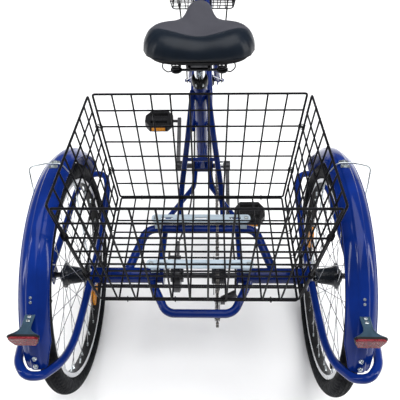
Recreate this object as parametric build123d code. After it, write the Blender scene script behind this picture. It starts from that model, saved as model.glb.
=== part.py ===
from build123d import *
import math
import os

# Adult tricycle, millimetres. X to the rider's right, Y forward, Z up, floor at Z = 0.
# Everything is drawn with the rear axle at Y = 0 and moved on export, so that the
# origin lies on the floor under the middle of the whole tricycle.

# ---- driving dimensions --------------------------------------------------------------
WHEEL_R = 300.0
TRACK = 664.0
WHEELBASE = 950.0
ORIGIN_Y = -448.0

TYRE_SECTION_R = 21.5
RIM_OUTER_R = 259.0
RIM_INNER_R = 246.0
RIM_WIDTH = 26.0
SPOKE_COUNT = 36
SPOKE_R = 1.0
FLANGE_SPACING = 56.0
FLANGE_R = 30.0

FENDER_R, FRONT_FENDER_R = 338.0, 322.0
FENDER_WIDTH = 62.0
FENDER_SHEET = 1.4
FENDER_FRONT_DEG = 12.0
FENDER_REAR_DEG = 160.5

AXLE_R = 7.5
RUNNING_FIT = 0.05
HOUSING_R = 21.0
HOUSING_BORE_R = 17.0
HOUSING_INNER_X = 96.0
HOUSING_OUTER_X = 283.0

BB_Y, BB_Z = 460.0, 280.0
BB_SHELL_R, BB_BORE_R, BB_WIDTH = 20.0, 17.0, 68.0
SEAT_ANGLE = 72.0
SEAT_TUBE_TOP_Z = 705.0
SEAT_TUBE_R, SEAT_POST_R = 17.0, 13.6
SADDLE_Z = 846.0
HEAD_ANGLE = 70.0
FORK_OFFSET = 45.0
HEAD_TUBE_LOW_Z, HEAD_TUBE_TOP_Z = 628.0, 772.0
HEAD_TUBE_R, HEAD_TUBE_BORE_R, STEERER_R = 20.0, 17.0, 14.2

CHAIN_PITCH = 12.7
CHAINRING_TEETH, COG_TEETH = 38, 20
CHAIN_X = 46.0
CHAIN_HALF_GAP, CHAIN_PLATE, CHAIN_HEIGHT = 2.7, 1.0, 8.4
CRANK_LENGTH = 170.0
CRANK_REST_DEG = 24.0
PEDAL_X, PEDAL_WIDTH, PEDAL_LENGTH, PEDAL_HEIGHT = 152.0, 96.0, 86.0, 24.0

BASKET_FLOOR_Z, BASKET_TOP_Z = 365.0, 705.0
BASKET_WALL_FOOT_Z = 371.0
PANEL_THICKNESS, PANEL_BAR = 3.8, 3.8
# Half-width and Y of the end walls' corners, and of the side walls' corners, which stand
# further out: (rear foot, front foot, front top, rear top).
END_CORNERS = ((239.0, -118.0), (235.0, 226.0), (263.0, 252.0), (280.0, -133.0))
SIDE_CORNERS = ((244.0, -112.0), (241.0, 220.0), (273.0, 244.0), (289.0, -125.0))

HALF_TRACK = TRACK / 2
HALF_SPACING = FLANGE_SPACING / 2
STEER_COT = 1 / math.tan(math.radians(HEAD_ANGLE))
STEER_Y_AT_AXLE = WHEELBASE - FORK_OFFSET / math.sin(math.radians(HEAD_ANGLE))
SEAT_COT = 1 / math.tan(math.radians(SEAT_ANGLE))


def steer_point(z, forward=0.0, x=0.0):
    """A point on the steering axis at height z, moved forward square to it."""
    tilt = math.radians(HEAD_ANGLE)
    y = STEER_Y_AT_AXLE - (z - WHEEL_R) * STEER_COT
    return Vector(x, y + forward * math.sin(tilt), z + forward * math.cos(tilt))


def seat_point(z, x=0.0):
    """A point on the seat tube's centre line at height z."""
    return Vector(x, BB_Y - (z - BB_Z) * SEAT_COT, z)


def pitch_radius(teeth):
    """The radius of a chain wheel's pitch circle."""
    return CHAIN_PITCH / (2 * math.sin(math.pi / teeth))


# ---- small builders ------------------------------------------------------------------
def rod(start, end, radius, bore=0.0):
    """A straight round bar from start to end, hollow where a bore is given."""
    start, end = Vector(*start), Vector(*end)
    plane = Plane(origin=start, z_dir=end - start)
    section = Circle(radius)
    if bore:
        section -= Circle(bore)
    return extrude(plane * section, (end - start).length)


def tube(points, radius, bend, wall=0.0):
    """A round tube along straight runs joined by tangent bends."""
    points = [Vector(*point) for point in points]
    path = FilletPolyline(*points, radius=bend)
    plane = Plane(origin=path @ 0, z_dir=path % 0)
    section = Circle(radius)
    if wall:
        section -= Circle(radius - wall)
    return sweep(plane * section, path=path)


def ring(centre_x, y, z, outer, bore, width):
    """A ring or disc about a line parallel to X."""
    shape = extrude(Plane(origin=(centre_x - width / 2, y, z), z_dir=(1, 0, 0)) * Circle(outer), width)
    if bore:
        shape -= extrude(Plane(origin=(centre_x - width, y, z), z_dir=(1, 0, 0)) * Circle(bore), 2 * width)
    return shape


def block(centre, size):
    """An upright box about its centre."""
    return Pos(*centre) * Box(*size)


def mirrored(shape):
    """The same shape on the tricycle's other side."""
    return mirror(shape, about=Plane.YZ)


def both_sides(shape):
    """A shape and its mirror image, as separate solids."""
    return group([shape, mirrored(shape)])


def group(shapes):
    """One compound that holds separate solids."""
    solids = []
    for shape in shapes:
        solids += list(shape.solids())
    return Compound(children=solids)


def flat_bar(start, end, width, thickness):
    """A flat strip between two points of one plane X = constant, its thickness along X."""
    start, end = Vector(*start), Vector(*end)
    along = end - start
    plane = Plane(origin=start, x_dir=along, z_dir=(1, 0, 0))
    length = along.length
    outline = Pos(length / 2, 0) * SlotCenterToCenter(length, width)
    return extrude(plane * outline, thickness / 2, both=True)


# ---- wheels --------------------------------------------------------------------------
def tyre(centre):
    """The tyre, hollowed where it seats on the rim."""
    ring_r = WHEEL_R - TYRE_SECTION_R
    section = Pos(0, ring_r) * Circle(TYRE_SECTION_R)
    section -= Pos(0, RIM_OUTER_R - 20) * Rectangle(3 * TYRE_SECTION_R, 40)
    return Pos(*centre) * revolve(Plane.XY * section, axis=Axis.X)


def rim(centre):
    """A double-wall rim with its side flanges."""
    depth = RIM_OUTER_R - RIM_INNER_R
    outline = Pos(0, RIM_INNER_R + depth / 2) * Rectangle(RIM_WIDTH, depth)
    hollow = Pos(0, RIM_INNER_R + depth / 2 - 1) * Rectangle(RIM_WIDTH - 4, depth - 6)
    return Pos(*centre) * revolve(Plane.XY * (outline - hollow), axis=Axis.X)


def hub(centre, bore, outer_side):
    """A conical hub shell with two flanges, the larger one on outer_side."""
    shell = Polyline(
        (-HALF_SPACING - 7, bore), (-HALF_SPACING - 7, 15), (-HALF_SPACING - 2, 17),
        (-HALF_SPACING - 2, FLANGE_R), (-HALF_SPACING + 2, FLANGE_R), (-HALF_SPACING + 3, 18),
        (HALF_SPACING - 10, 25), (HALF_SPACING - 4, 29), (HALF_SPACING - 2, FLANGE_R + 4),
        (HALF_SPACING + 2, FLANGE_R + 4), (HALF_SPACING + 4, 24), (HALF_SPACING + 12, 17),
        (HALF_SPACING + 12, bore), close=True)
    body = revolve(Plane.XY * make_face(shell), axis=Axis.X)
    if outer_side < 0:
        body = mirrored(body)
    return Pos(*centre) * body


def spoke_line(index):
    """Where a crossed spoke leaves the hub flange and enters the rim."""
    side = -1 if index % 2 else 1
    step = index // 2
    hub_angle = math.radians(20 * step + (10 if side > 0 else 0))
    lean = math.radians(60 if step % 2 else -60)
    start = (side * HALF_SPACING, (FLANGE_R - 4) * math.cos(hub_angle), (FLANGE_R - 4) * math.sin(hub_angle))
    rim_angle = hub_angle + lean
    rim_r = RIM_INNER_R + 1.5
    end = (side * 2.0, rim_r * math.cos(rim_angle), rim_r * math.sin(rim_angle))
    return start, end


def spokes(centre):
    """The crossed spokes of one wheel, each a separate wire."""
    wires = [rod(*spoke_line(index), SPOKE_R) for index in range(SPOKE_COUNT)]
    return Pos(*centre) * group(wires)


def fender(centre, crown_r, start_deg, end_deg):
    """A full mudguard of thin sheet with a raised middle rib."""
    half = FENDER_WIDTH / 2
    drop = 17.0
    sheet = FENDER_SHEET
    outer = ThreePointArc((-half, crown_r - drop), (0, crown_r), (half, crown_r - drop))
    inside = half - sheet
    inner = ThreePointArc((inside, crown_r - drop), (0, crown_r - sheet), (-inside, crown_r - drop))
    lips = [Line((half, crown_r - drop), (half - sheet, crown_r - drop)),
            Line((sheet - half, crown_r - drop), (-half, crown_r - drop))]
    section = make_face([outer, lips[0], inner, lips[1]])
    rib = Pos(0, crown_r + 0.4) * RectangleRounded(22, 4.2, 1.6)
    section = Plane.XY * (section + rib)
    shell = revolve(section, axis=Axis.X, revolution_arc=end_deg - start_deg)
    return Pos(*centre) * Rot(start_deg, 0, 0) * shell


REAR_LEFT = (-HALF_TRACK, 0, WHEEL_R)
REAR_RIGHT = (HALF_TRACK, 0, WHEEL_R)
FRONT = (0, WHEELBASE, WHEEL_R)


# ---- frame ---------------------------------------------------------------------------
def bottom_bracket_line(radius):
    """The bottom bracket shell's outer space."""
    return ring(0, BB_Y, BB_Z, radius, 0, BB_WIDTH)


def seat_tube():
    """The seat tube with the bottom bracket shell at its foot."""
    body = rod(seat_point(BB_Z), seat_point(SEAT_TUBE_TOP_Z), SEAT_TUBE_R) + bottom_bracket_line(BB_SHELL_R)
    body -= rod(seat_point(BB_Z + 40), seat_point(SEAT_TUBE_TOP_Z + 5), SEAT_POST_R + RUNNING_FIT)
    body -= ring(0, BB_Y, BB_Z, BB_BORE_R, 0, BB_WIDTH + 4)
    return body


def head_tube():
    return rod(steer_point(HEAD_TUBE_LOW_Z), steer_point(HEAD_TUBE_TOP_Z), HEAD_TUBE_R, HEAD_TUBE_BORE_R)


def head_tube_envelope():
    return rod(steer_point(HEAD_TUBE_LOW_Z - 40), steer_point(HEAD_TUBE_TOP_Z + 40), HEAD_TUBE_R)


def seat_tube_envelope():
    return rod(seat_point(BB_Z - 30), seat_point(SEAT_TUBE_TOP_Z + 30), SEAT_TUBE_R)


def front_tubes():
    """The curved down tube and the twin slim top tubes, from head tube to seat tube."""
    low = steer_point(HEAD_TUBE_LOW_Z + 34)
    down = tube([low, (0, low.Y - 120, low.Z - 110), (0, BB_Y + 62, BB_Z + 64), (0, BB_Y + 6, BB_Z + 6)],
                17.0, 120, 1.6)
    down -= head_tube_envelope()
    down -= bottom_bracket_line(BB_SHELL_R)
    down -= seat_tube_envelope()
    high = steer_point(HEAD_TUBE_TOP_Z - 34)
    seat = seat_point(500)
    twin = tube([(14, high.Y, high.Z), (14, high.Y - 70, high.Z - 52),
                 (25, seat.Y + 90, seat.Z + 55), (25, seat.Y - 20, seat.Z)], 8.0, 90, 1.2)
    twin -= head_tube_envelope()
    twin -= seat_tube_envelope()
    return group([down, twin, mirrored(twin)])


def seat_stays():
    """Twin stays from the seat cluster down to the front hoop, and their bridge."""
    top = seat_point(650)
    points = [(20, top.Y + 4, top.Z), (34, 305, 540), (56, 264, 385), (62, 212, 328), (62, HOOP_Y, 328)]
    stay = tube(points, 8.0, 34, 1.2)
    stay -= seat_tube_envelope()
    stay -= rod((0, HOOP_Y, HOOP_Z), (130, HOOP_Y, HOOP_Z), HOOP_R)
    bridge = rod((-46, 284, 462), (46, 284, 462), 5.0)
    bridge -= rod(points[1], points[2], 8.0)
    bridge -= mirrored(rod(points[1], points[2], 8.0))
    return group([stay, mirrored(stay), bridge.solids().sort_by(SortBy.VOLUME)[-1]])


def chain_stays():
    """Twin stays from the bottom bracket back to the front hoop and the axle housing."""
    stay = tube([(24, BB_Y - 8, BB_Z - 4), (27, BB_Y - 95, BB_Z - 5),
                 (104, 215, 284), (110, 12, 290)], 8.0, 80, 1.2)
    stay -= bottom_bracket_line(BB_SHELL_R)
    stay -= seat_tube_envelope()
    stay -= housing_envelope()
    return both_sides(stay)


def housing_envelope():
    return rod((-HOUSING_OUTER_X, 0, WHEEL_R), (HOUSING_OUTER_X, 0, WHEEL_R), HOUSING_R)


def axle_housing():
    """The two halves of the rear axle housing, with an end flange each."""
    half = rod((HOUSING_INNER_X, 0, WHEEL_R), (HOUSING_OUTER_X, 0, WHEEL_R), HOUSING_R, HOUSING_BORE_R)
    half += ring(HOUSING_INNER_X + 2, 0, WHEEL_R, 27, HOUSING_BORE_R, 4)
    half += ring(HOUSING_OUTER_X - 2, 0, WHEEL_R, 26, HOUSING_BORE_R, 4)
    return both_sides(half)


HOOP_Y, HOOP_Z, HOOP_R = 140.0, 327.0, 12.0


def front_hoop():
    """The hoop ahead of the axle that carries the basket and joins both housing halves."""
    hoop = tube([(-196, 8, 303), (-152, HOOP_Y, HOOP_Z), (152, HOOP_Y, HOOP_Z), (196, 8, 303)],
                HOOP_R, 36, 1.5)
    return hoop - housing_envelope()


def rear_bumper():
    """The low hoop behind the axle."""
    hoop = tube([(-134, -6, 296), (-86, -104, 280), (86, -104, 280), (134, -6, 296)], 11.0, 36, 1.3)
    return hoop - housing_envelope()


GUARD_R = 9.5


def wheel_guard(side):
    """The tube loop round one rear wheel, from the housing end round both sides."""
    inner, outer = 291.5, 392.0
    points = [(inner, -26, 303), (inner, -110, 312), (inner, -215, 332), (297, -285, 374), (318, -334, 414),
              (345, -342, 432), (370, -312, 426), (384, -262, 402), (outer, -190, 366), (outer, -60, 344),
              (outer, 120, 322),
              (outer, 318, 306), (372, 356, 318), (338, 370, 330), (304, 360, 330), (inner, 312, 322),
              (inner, 150, 284), (inner, 26, 297)]
    path = FilletPolyline(*[Vector(*point) for point in points], radius=corner_radii(points, 0.45))
    plane = Plane(origin=path @ 0, z_dir=path % 0)
    loop = sweep(plane * (Circle(GUARD_R) - Circle(GUARD_R - 1.2)), path=path)
    inner_plate = block((HOUSING_OUTER_X + 2.5, 0, WHEEL_R), (5, 64, 50))
    inner_plate -= ring(HOUSING_OUTER_X + 2.5, 0, WHEEL_R, 12, 0, 20)
    outer_plate = block((outer, 0, 320), (4, 44, 66)) - ring(outer, 0, WHEEL_R, AXLE_R + 2.5, 0, 20)
    plates = [inner_plate, outer_plate]
    guard = group([loop - plates - housing_envelope()] + plates)
    return guard if side > 0 else mirrored(guard)


def corner_radii(points, share):
    """The largest even bend at each corner of a route."""
    points = [Vector(*point) for point in points]
    radii = []
    for before, here, after in zip(points, points[1:], points[2:]):
        shorter = min((here - before).length, (after - here).length)
        turn = math.radians((here - before).get_angle(after - here))
        radii.append(share * shorter / math.tan(turn / 2))
    return radii


PLATE_Z = 361.0
SLOT_PITCH, SLOT_LENGTH, SLOT_R = 190.0, 34.0, 3.5


def support_plate(y):
    """A flat strip with two slotted holes and a middle hole."""
    strip = block((0, y, PLATE_Z), (276, 26, 4))
    strip = fillet(strip.edges().filter_by(Axis.Z), 10)
    for x in (-SLOT_PITCH / 2, SLOT_PITCH / 2):
        strip -= Pos(x, y, PLATE_Z) * extrude(SlotOverall(SLOT_LENGTH, 2 * SLOT_R), 6, both=True)
    strip -= Pos(0, y, PLATE_Z) * extrude(SlotOverall(SLOT_LENGTH, 2 * SLOT_R), 6, both=True)
    return strip


REAR_PLATE_Y, FRONT_PLATE_Y = -8.0, 150.0


def support_plates():
    """Both strips, with the welded lugs that hold them over the housing and the hoop."""
    rear = support_plate(REAR_PLATE_Y)
    front = support_plate(FRONT_PLATE_Y)
    under = PLATE_Z - 2
    for x in (-118, 118):
        rear += block((x, -4, (WHEEL_R + under) / 2 + 8), (22, 5, under - WHEEL_R - 16))
        front += block((x, HOOP_Y, under - 10), (20, 16, 22))
    hoop = rod((-135, HOOP_Y, HOOP_Z), (135, HOOP_Y, HOOP_Z), HOOP_R)
    return group([rear - housing_envelope(), front - hoop])


def bearings():
    """The axle, bottom bracket and headset bearings, each a plain ring."""
    rings = []
    for x in (HOUSING_INNER_X + 7, HOUSING_OUTER_X - 7):
        for side in (-1, 1):
            rings.append(ring(side * x, 0, WHEEL_R, HOUSING_BORE_R, AXLE_R + RUNNING_FIT, 12))
    for side in (-1, 1):
        rings.append(ring(side * 28, BB_Y, BB_Z, BB_BORE_R, 8.5 + RUNNING_FIT, 11))
    low, top = steer_point(HEAD_TUBE_LOW_Z), steer_point(HEAD_TUBE_TOP_Z)
    up = (top - low).normalized()
    for centre, sense in ((low, -1), (top, 1)):
        cup = rod(centre, centre + up * (sense * 9), HEAD_TUBE_R + 1, STEERER_R + RUNNING_FIT)
        cup += rod(centre, centre - up * (sense * 14), HEAD_TUBE_BORE_R, STEERER_R + RUNNING_FIT)
        rings.append(cup)
    return group(rings)


BRAKE_X = -62.0


def brake_band():
    """The rear band brake's fixed band, anchor and arm."""
    band = ring(BRAKE_X, 0, WHEEL_R, 45, 41.5, 16)
    anchor = flat_bar((BRAKE_X - 24, 0, WHEEL_R), (BRAKE_X - 24, 62, WHEEL_R + 6), 26, 4)
    anchor -= ring(BRAKE_X - 24, 0, WHEEL_R, 12, 0, 20)
    stud = rod((BRAKE_X - 22, 56, WHEEL_R + 6), (BRAKE_X + 8, 56, WHEEL_R + 6), 5)
    arm = flat_bar((BRAKE_X, 50, WHEEL_R + 6), (BRAKE_X, 92, WHEEL_R + 22), 13, 8)
    arm += stud
    return group([band - arm, anchor - arm, arm])


DERAILLEUR_X = 46.0
GUIDE_Y, GUIDE_Z = -34.0, 232.0
TENSION_Y, TENSION_Z = -58.0, 182.0
JOCKEY_R = pitch_radius(11)


def derailleur():
    """The derailleur's hanger, link body and the cage's pivot."""
    hanger = flat_bar((HOUSING_INNER_X - 2, 0, 276), (HOUSING_INNER_X - 2, -20, 250), 20, 4)
    body = rod((HOUSING_INNER_X, -20, 246), (60, -32, 234), 10)
    knuckle = ring(60, GUIDE_Y, GUIDE_Z, 11, 0, 12)
    pin = rod((60, GUIDE_Y, GUIDE_Z), (37, GUIDE_Y, GUIDE_Z), 3.5)
    return group([hanger + body + knuckle + pin])


def derailleur_cage():
    """The sprung cage: two plates and two jockey wheels."""
    plates = []
    for x in (DERAILLEUR_X - 6, DERAILLEUR_X + 6):
        plate = flat_bar((x, GUIDE_Y, GUIDE_Z), (x, TENSION_Y, TENSION_Z), 18, 1.6)
        plates.append(plate - ring(x, GUIDE_Y, GUIDE_Z, 3.5 + RUNNING_FIT, 0, 8))
    guide = jockey_wheel(GUIDE_Y, GUIDE_Z)
    tension = jockey_wheel(TENSION_Y, TENSION_Z)
    axle = rod((DERAILLEUR_X - 8, TENSION_Y, TENSION_Z), (DERAILLEUR_X + 8, TENSION_Y, TENSION_Z), 3.0)
    plates = [plate - axle for plate in plates]
    return group(plates + [guide, tension - axle, axle])


def toothed_disc(x, y, z, teeth, bore, width):
    """A chain wheel with round tooth gaps on its pitch circle."""
    radius = pitch_radius(teeth)
    disc = Circle(radius + 2.6)
    gaps = [Pos(radius * math.cos(a), radius * math.sin(a)) * Circle(3.4)
            for a in (2 * math.pi * index / teeth for index in range(teeth))]
    disc -= gaps
    if bore:
        disc -= Circle(bore)
    plane = Plane(origin=(x - width / 2, y, z), z_dir=(1, 0, 0))
    return extrude(plane * disc, width)


def jockey_wheel(y, z):
    return toothed_disc(DERAILLEUR_X, y, z, 11, 3.5 + RUNNING_FIT, 2.0)


# ---- chain ---------------------------------------------------------------------------
def chain_circles():
    """Centre, radius and turning sense of what the chain wraps, in order."""
    return [((BB_Y, BB_Z), pitch_radius(CHAINRING_TEETH), 1),
            ((0.0, WHEEL_R), pitch_radius(COG_TEETH), 1),
            ((GUIDE_Y, GUIDE_Z), JOCKEY_R, -1),
            ((TENSION_Y, TENSION_Z), JOCKEY_R, 1)]


def tangent_points(first, second):
    """Where the straight run between two wrapped circles touches each of them."""
    (y1, z1), r1, s1 = first
    (y2, z2), r2, s2 = second
    dy, dz = y2 - y1, z2 - z1
    distance = math.hypot(dy, dz)
    heading = math.atan2(dz, dy)
    lean = math.asin((s1 * r1 - s2 * r2) / distance)
    angle = heading - math.pi / 2 + lean
    ny, nz = math.cos(angle), math.sin(angle)
    return (y1 + s1 * r1 * ny, z1 + s1 * r1 * nz), (y2 + s2 * r2 * ny, z2 + s2 * r2 * nz)


def chain():
    """The chain's two side-plate bands, each a closed loop."""
    circles = chain_circles()
    count = len(circles)
    runs = [tangent_points(circles[index], circles[(index + 1) % count]) for index in range(count)]
    edges = []
    for index, (centre, radius, sense) in enumerate(circles):
        arrive = runs[index - 1][1]
        leave = runs[index][0]
        start = math.atan2(arrive[1] - centre[1], arrive[0] - centre[0])
        end = math.atan2(leave[1] - centre[1], leave[0] - centre[0])
        sweep_angle = (end - start) % (2 * math.pi)
        if sense < 0:
            sweep_angle -= 2 * math.pi
        middle = start + sweep_angle / 2
        mid_point = (centre[0] + radius * math.cos(middle), centre[1] + radius * math.sin(middle))
        edges.append(ThreePointArc(arrive, mid_point, leave))
        edges.append(Line(runs[index][0], runs[index][1]))
    loop = Wire(edges)
    outer = make_face(loop.offset_2d(CHAIN_HEIGHT / 2, kind=Kind.ARC))
    inner = make_face(loop.offset_2d(-CHAIN_HEIGHT / 2, kind=Kind.ARC))
    band = outer - inner
    plates = []
    for x in (CHAIN_X - CHAIN_HALF_GAP - CHAIN_PLATE, CHAIN_X + CHAIN_HALF_GAP):
        plane = Plane(origin=(x, 0, 0), x_dir=(0, 1, 0), z_dir=(1, 0, 0))
        plates.append(extrude(plane * band, CHAIN_PLATE))
    return group(plates)


# ---- basket --------------------------------------------------------------------------
def grid_panel(corners, columns, rows):
    """A welded-wire panel as one thin plate pierced by its mesh, from its four corners."""
    low_left, low_right, top_right, top_left = [Vector(*corner) for corner in corners]
    width_dir = (low_right - low_left).normalized()
    normal = width_dir.cross(top_left - low_left).normalized()
    plane = Plane(origin=low_left, x_dir=width_dir, z_dir=normal)
    flat = [plane.to_local_coords(corner) for corner in (low_left, low_right, top_right, top_left)]

    def at(u, v):
        low = flat[0] + (flat[1] - flat[0]) * u
        top = flat[3] + (flat[2] - flat[3]) * u
        point = low + (top - low) * v
        return point

    outline = make_face(Polyline(*[(p.X, p.Y) for p in flat], close=True))
    bar = PANEL_BAR / 2
    holes = []
    for column in range(columns):
        for row in range(rows):
            cell = [at(column / columns, row / rows), at((column + 1) / columns, row / rows),
                    at((column + 1) / columns, (row + 1) / rows), at(column / columns, (row + 1) / rows)]
            inset = [(cell[0].X + bar, cell[0].Y + bar), (cell[1].X - bar, cell[1].Y + bar),
                     (cell[2].X - bar, cell[2].Y - bar), (cell[3].X + bar, cell[3].Y - bar)]
            holes.append(make_face(Polyline(*inset, close=True)))
    mesh = outline - holes
    return extrude(plane * mesh, PANEL_THICKNESS / 2, both=True)


def basket_floor():
    """The floor panel, inside the feet of the walls."""
    rear_x, rear_y = END_CORNERS[0]
    front_x, front_y = END_CORNERS[1]
    gap = PANEL_THICKNESS
    corners = [(-rear_x, rear_y + gap, BASKET_FLOOR_Z), (rear_x, rear_y + gap, BASKET_FLOOR_Z),
               (front_x, front_y - gap, BASKET_FLOOR_Z), (-front_x, front_y - gap, BASKET_FLOOR_Z)]
    return grid_panel(corners, 11, 8)


def basket_end_wall(front):
    """The wall across the basket at its front or rear."""
    foot_x, foot_y = END_CORNERS[1 if front else 0]
    top_x, top_y = END_CORNERS[2 if front else 3]
    corners = [(-foot_x, foot_y, BASKET_WALL_FOOT_Z), (foot_x, foot_y, BASKET_WALL_FOOT_Z),
               (top_x, top_y, BASKET_TOP_Z), (-top_x, top_y, BASKET_TOP_Z)]
    return grid_panel(corners, 11, 7)


def basket_side_wall(side):
    """The wall along one side, which leans out like the end walls."""
    heights = (BASKET_WALL_FOOT_Z, BASKET_WALL_FOOT_Z, BASKET_TOP_Z, BASKET_TOP_Z)
    corners = [(side * x, y, z) for (x, y), z in zip(SIDE_CORNERS, heights)]
    return grid_panel(corners, 8, 7)


# ---- fender fittings -----------------------------------------------------------------
def on_fender(angle_deg, extra=0.0, side=1, x=0.0):
    """A point at an angle round a rear fender, out from its crown."""
    angle = math.radians(angle_deg)
    radius = FENDER_R + extra
    return Vector(side * (HALF_TRACK + x), radius * math.cos(angle), WHEEL_R + radius * math.sin(angle))


REFLECTOR_DEG = 138.5
LENS_WIDTH, LENS_HEIGHT, LENS_DEPTH = 62.0, 30.0, 6.0
ARM_LENGTH = 58.0


def lens_centre(side):
    """The middle of a rear reflector, behind the fender's crown."""
    root = on_fender(REFLECTOR_DEG, 0.0, side)
    return Vector(root.X, root.Y - ARM_LENGTH, root.Z - 6)


def lens_outline(scale):
    """A reflector's shield shape, in its upright plane."""
    half, low, height = LENS_WIDTH / 2, LENS_WIDTH / 2 - 9, LENS_HEIGHT / 2
    points = [(-low, -height), (low, -height), (half - 2, 2), (half, height - 4), (half - 5, height),
              (5 - half, height), (-half, height - 4), (2 - half, 2)]
    return make_face(Polyline(*[(x * scale, z * scale) for x, z in points], close=True))


def reflector_bracket(side):
    """The arm from a fender's crown to its reflector, widening to the lens, and the backing plate."""
    centre = lens_centre(side)
    foot = on_fender(REFLECTOR_DEG - 3, 3.0, side)
    arm_top = Vector(centre.X, centre.Y + 4, centre.Z + LENS_HEIGHT / 2 - 3)
    plan = Plane(origin=foot, x_dir=(1, 0, 0), z_dir=(arm_top - foot).cross(Vector(-1, 0, 0)))
    length = (arm_top - foot).length
    outline = Polyline((-9, -6), (9, -6), (8, length * 0.55), (15, length * 0.82),
                       (LENS_WIDTH / 2 - 1, length),
                       (1 - LENS_WIDTH / 2, length), (-15, length * 0.82), (-8, length * 0.55), close=True)
    arm = extrude(plan * make_face(outline), 1.6, both=True)
    behind = (centre.X, centre.Y + LENS_DEPTH / 2 + 3, centre.Z)
    back = Plane(origin=behind, x_dir=(1, 0, 0), z_dir=(0, -1, 0))
    plate = extrude(back * lens_outline(1.03), 3)
    return (arm + plate) - fender_outer_envelope(side)


def fender_outer_envelope(side):
    """The space inside a rear fender's crown, with its rib."""
    return ring(side * HALF_TRACK, 0, WHEEL_R, FENDER_R + 2.6, 0, FENDER_WIDTH + 10)


def reflector_lens(side):
    """The red lens on the backing plate."""
    centre = lens_centre(side)
    front = Plane(origin=(centre.X, centre.Y + LENS_DEPTH / 2, centre.Z), x_dir=(1, 0, 0), z_dir=(0, -1, 0))
    return extrude(front * lens_outline(0.95), LENS_DEPTH)


def rear_fender(side):
    """One rear fender, whose tail narrows to pass between the guard's two sides."""
    hub = REAR_RIGHT if side > 0 else REAR_LEFT
    shape = fender(hub, FENDER_R, FENDER_FRONT_DEG, FENDER_REAR_DEG)
    back = Plane(origin=(side * HALF_TRACK, -270, 0), x_dir=(1, 0, 0), z_dir=(0, -1, 0))
    for way in (-1, 1):
        wedge = Polyline((way * 32, 472), (way * 60, 472), (way * 60, 380), (way * 13.6, 380), close=True)
        shape -= extrude(back * make_face(wedge), 90)
    return shape


STAY_R = 1.8


def fender_stay(side):
    """A wire hoop from the housing end over the fender's top, and its saddle clip."""
    top = FENDER_R + 5.5
    half = FENDER_WIDTH / 2 + 5
    angle = math.radians(78)
    rise = [(side * (HALF_TRACK - half), 10, WHEEL_R + 34),
            (side * (HALF_TRACK - half), top * math.cos(angle) - 8, WHEEL_R + top * math.sin(angle) - 26),
            (side * (HALF_TRACK - half + 12), top * math.cos(angle), WHEEL_R + top * math.sin(angle)),
            (side * (HALF_TRACK + half - 12), top * math.cos(angle), WHEEL_R + top * math.sin(angle)),
            (side * (HALF_TRACK + half), top * math.cos(angle) - 8, WHEEL_R + top * math.sin(angle) - 26),
            (side * (HALF_TRACK + 55.4), 6, WHEEL_R + 52)]
    return tube(rise, STAY_R, 9)


def fender_brackets():
    solids = []
    for side in (-1, 1):
        solids.append(fender_stay(side))
        solids.append(reflector_bracket(side))
    return group(solids)


def frame_bolts():
    """Bolts of the basket plates and fenders, and the seat clamp."""
    solids = []
    for y in (REAR_PLATE_Y, FRONT_PLATE_Y):
        for x in (-126, 126):
            solids.append(rod((x, y, PLATE_Z + 2), (x, y, PLATE_Z + 6), 6))
    for side in (-1, 1):
        for angle in (158.8, 155.6, 15.0):
            solids.append(rod(on_fender(angle, 2.6, side), on_fender(angle, 6.0, side), 5))
    top = seat_point(SEAT_TUBE_TOP_Z)
    low = seat_point(SEAT_TUBE_TOP_Z - 22)
    clamp = rod(low, top, SEAT_TUBE_R + 4, SEAT_TUBE_R)
    bore = rod(seat_point(600), seat_point(720), SEAT_TUBE_R)
    clamp += block((0, low.Y - 22, low.Z + 8), (15, 9, 18)) - bore
    clamp += rod((-17, low.Y - 22, low.Z + 8), (17, low.Y - 22, low.Z + 8), 4)
    solids.append(clamp - seat_tube_envelope())
    return group(solids)


# ---- seat ----------------------------------------------------------------------------
SADDLE_REAR_Y, SADDLE_NOSE_Y = 243.0, 496.0
SADDLE_HALF_WIDTH = 134.0
RAIL_Z = 774.0
SPRING_X, SPRING_Y = 56.0, SADDLE_REAR_Y + 50.0


def saddle_outline(scale_in=0.0):
    """Half-symmetric saddle plan: wide rounded rear, short rounded nose."""
    half = SADDLE_HALF_WIDTH - scale_in
    rear, nose = SADDLE_REAR_Y + scale_in, SADDLE_NOSE_Y - scale_in
    right = [(0, rear), (60, rear + 3), (half - 20, rear + 22), (half - 1, rear + 62),
             (half - 10, rear + 100),
             (half - 42, rear + 136), (60, rear + 146), (41, rear + 163), (33, rear + 190), (28, nose - 32),
             (18, nose - 8), (0, nose)]
    left = [(-x, y) for x, y in reversed(right[1:-1])]
    return make_face(Spline(*(right + left), periodic=True))


def saddle_cover():
    """The padded top as a plain solid of the right height and outline."""
    cover = Pos(0, 0, SADDLE_Z - 58) * extrude(saddle_outline(), 56)
    return cover


def saddle_base():
    """The moulded shell under the padding."""
    return Pos(0, 0, SADDLE_Z - 66) * extrude(saddle_outline(9), 7)


def saddle_rails():
    """Two wire rails, the clamp on the post and the cross wire."""
    rail = tube([(24, SADDLE_REAR_Y + 16, RAIL_Z - 10), (24, SADDLE_REAR_Y + 42, RAIL_Z - 22),
                 (22, SADDLE_REAR_Y + 132, RAIL_Z - 22), (20, SADDLE_NOSE_Y - 58, RAIL_Z + 2.5)], 3.5, 16)
    top = seat_point(RAIL_Z - 20)
    clamp = rod((-31, top.Y, top.Z - 2), (31, top.Y, top.Z - 2), 13)
    clamp -= group([rail, mirrored(rail)])
    cross = rod((-SPRING_X, SPRING_Y, RAIL_Z - 30), (SPRING_X, SPRING_Y, RAIL_Z - 30), 3.2)
    return group([rail, mirrored(rail), clamp, cross])


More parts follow.
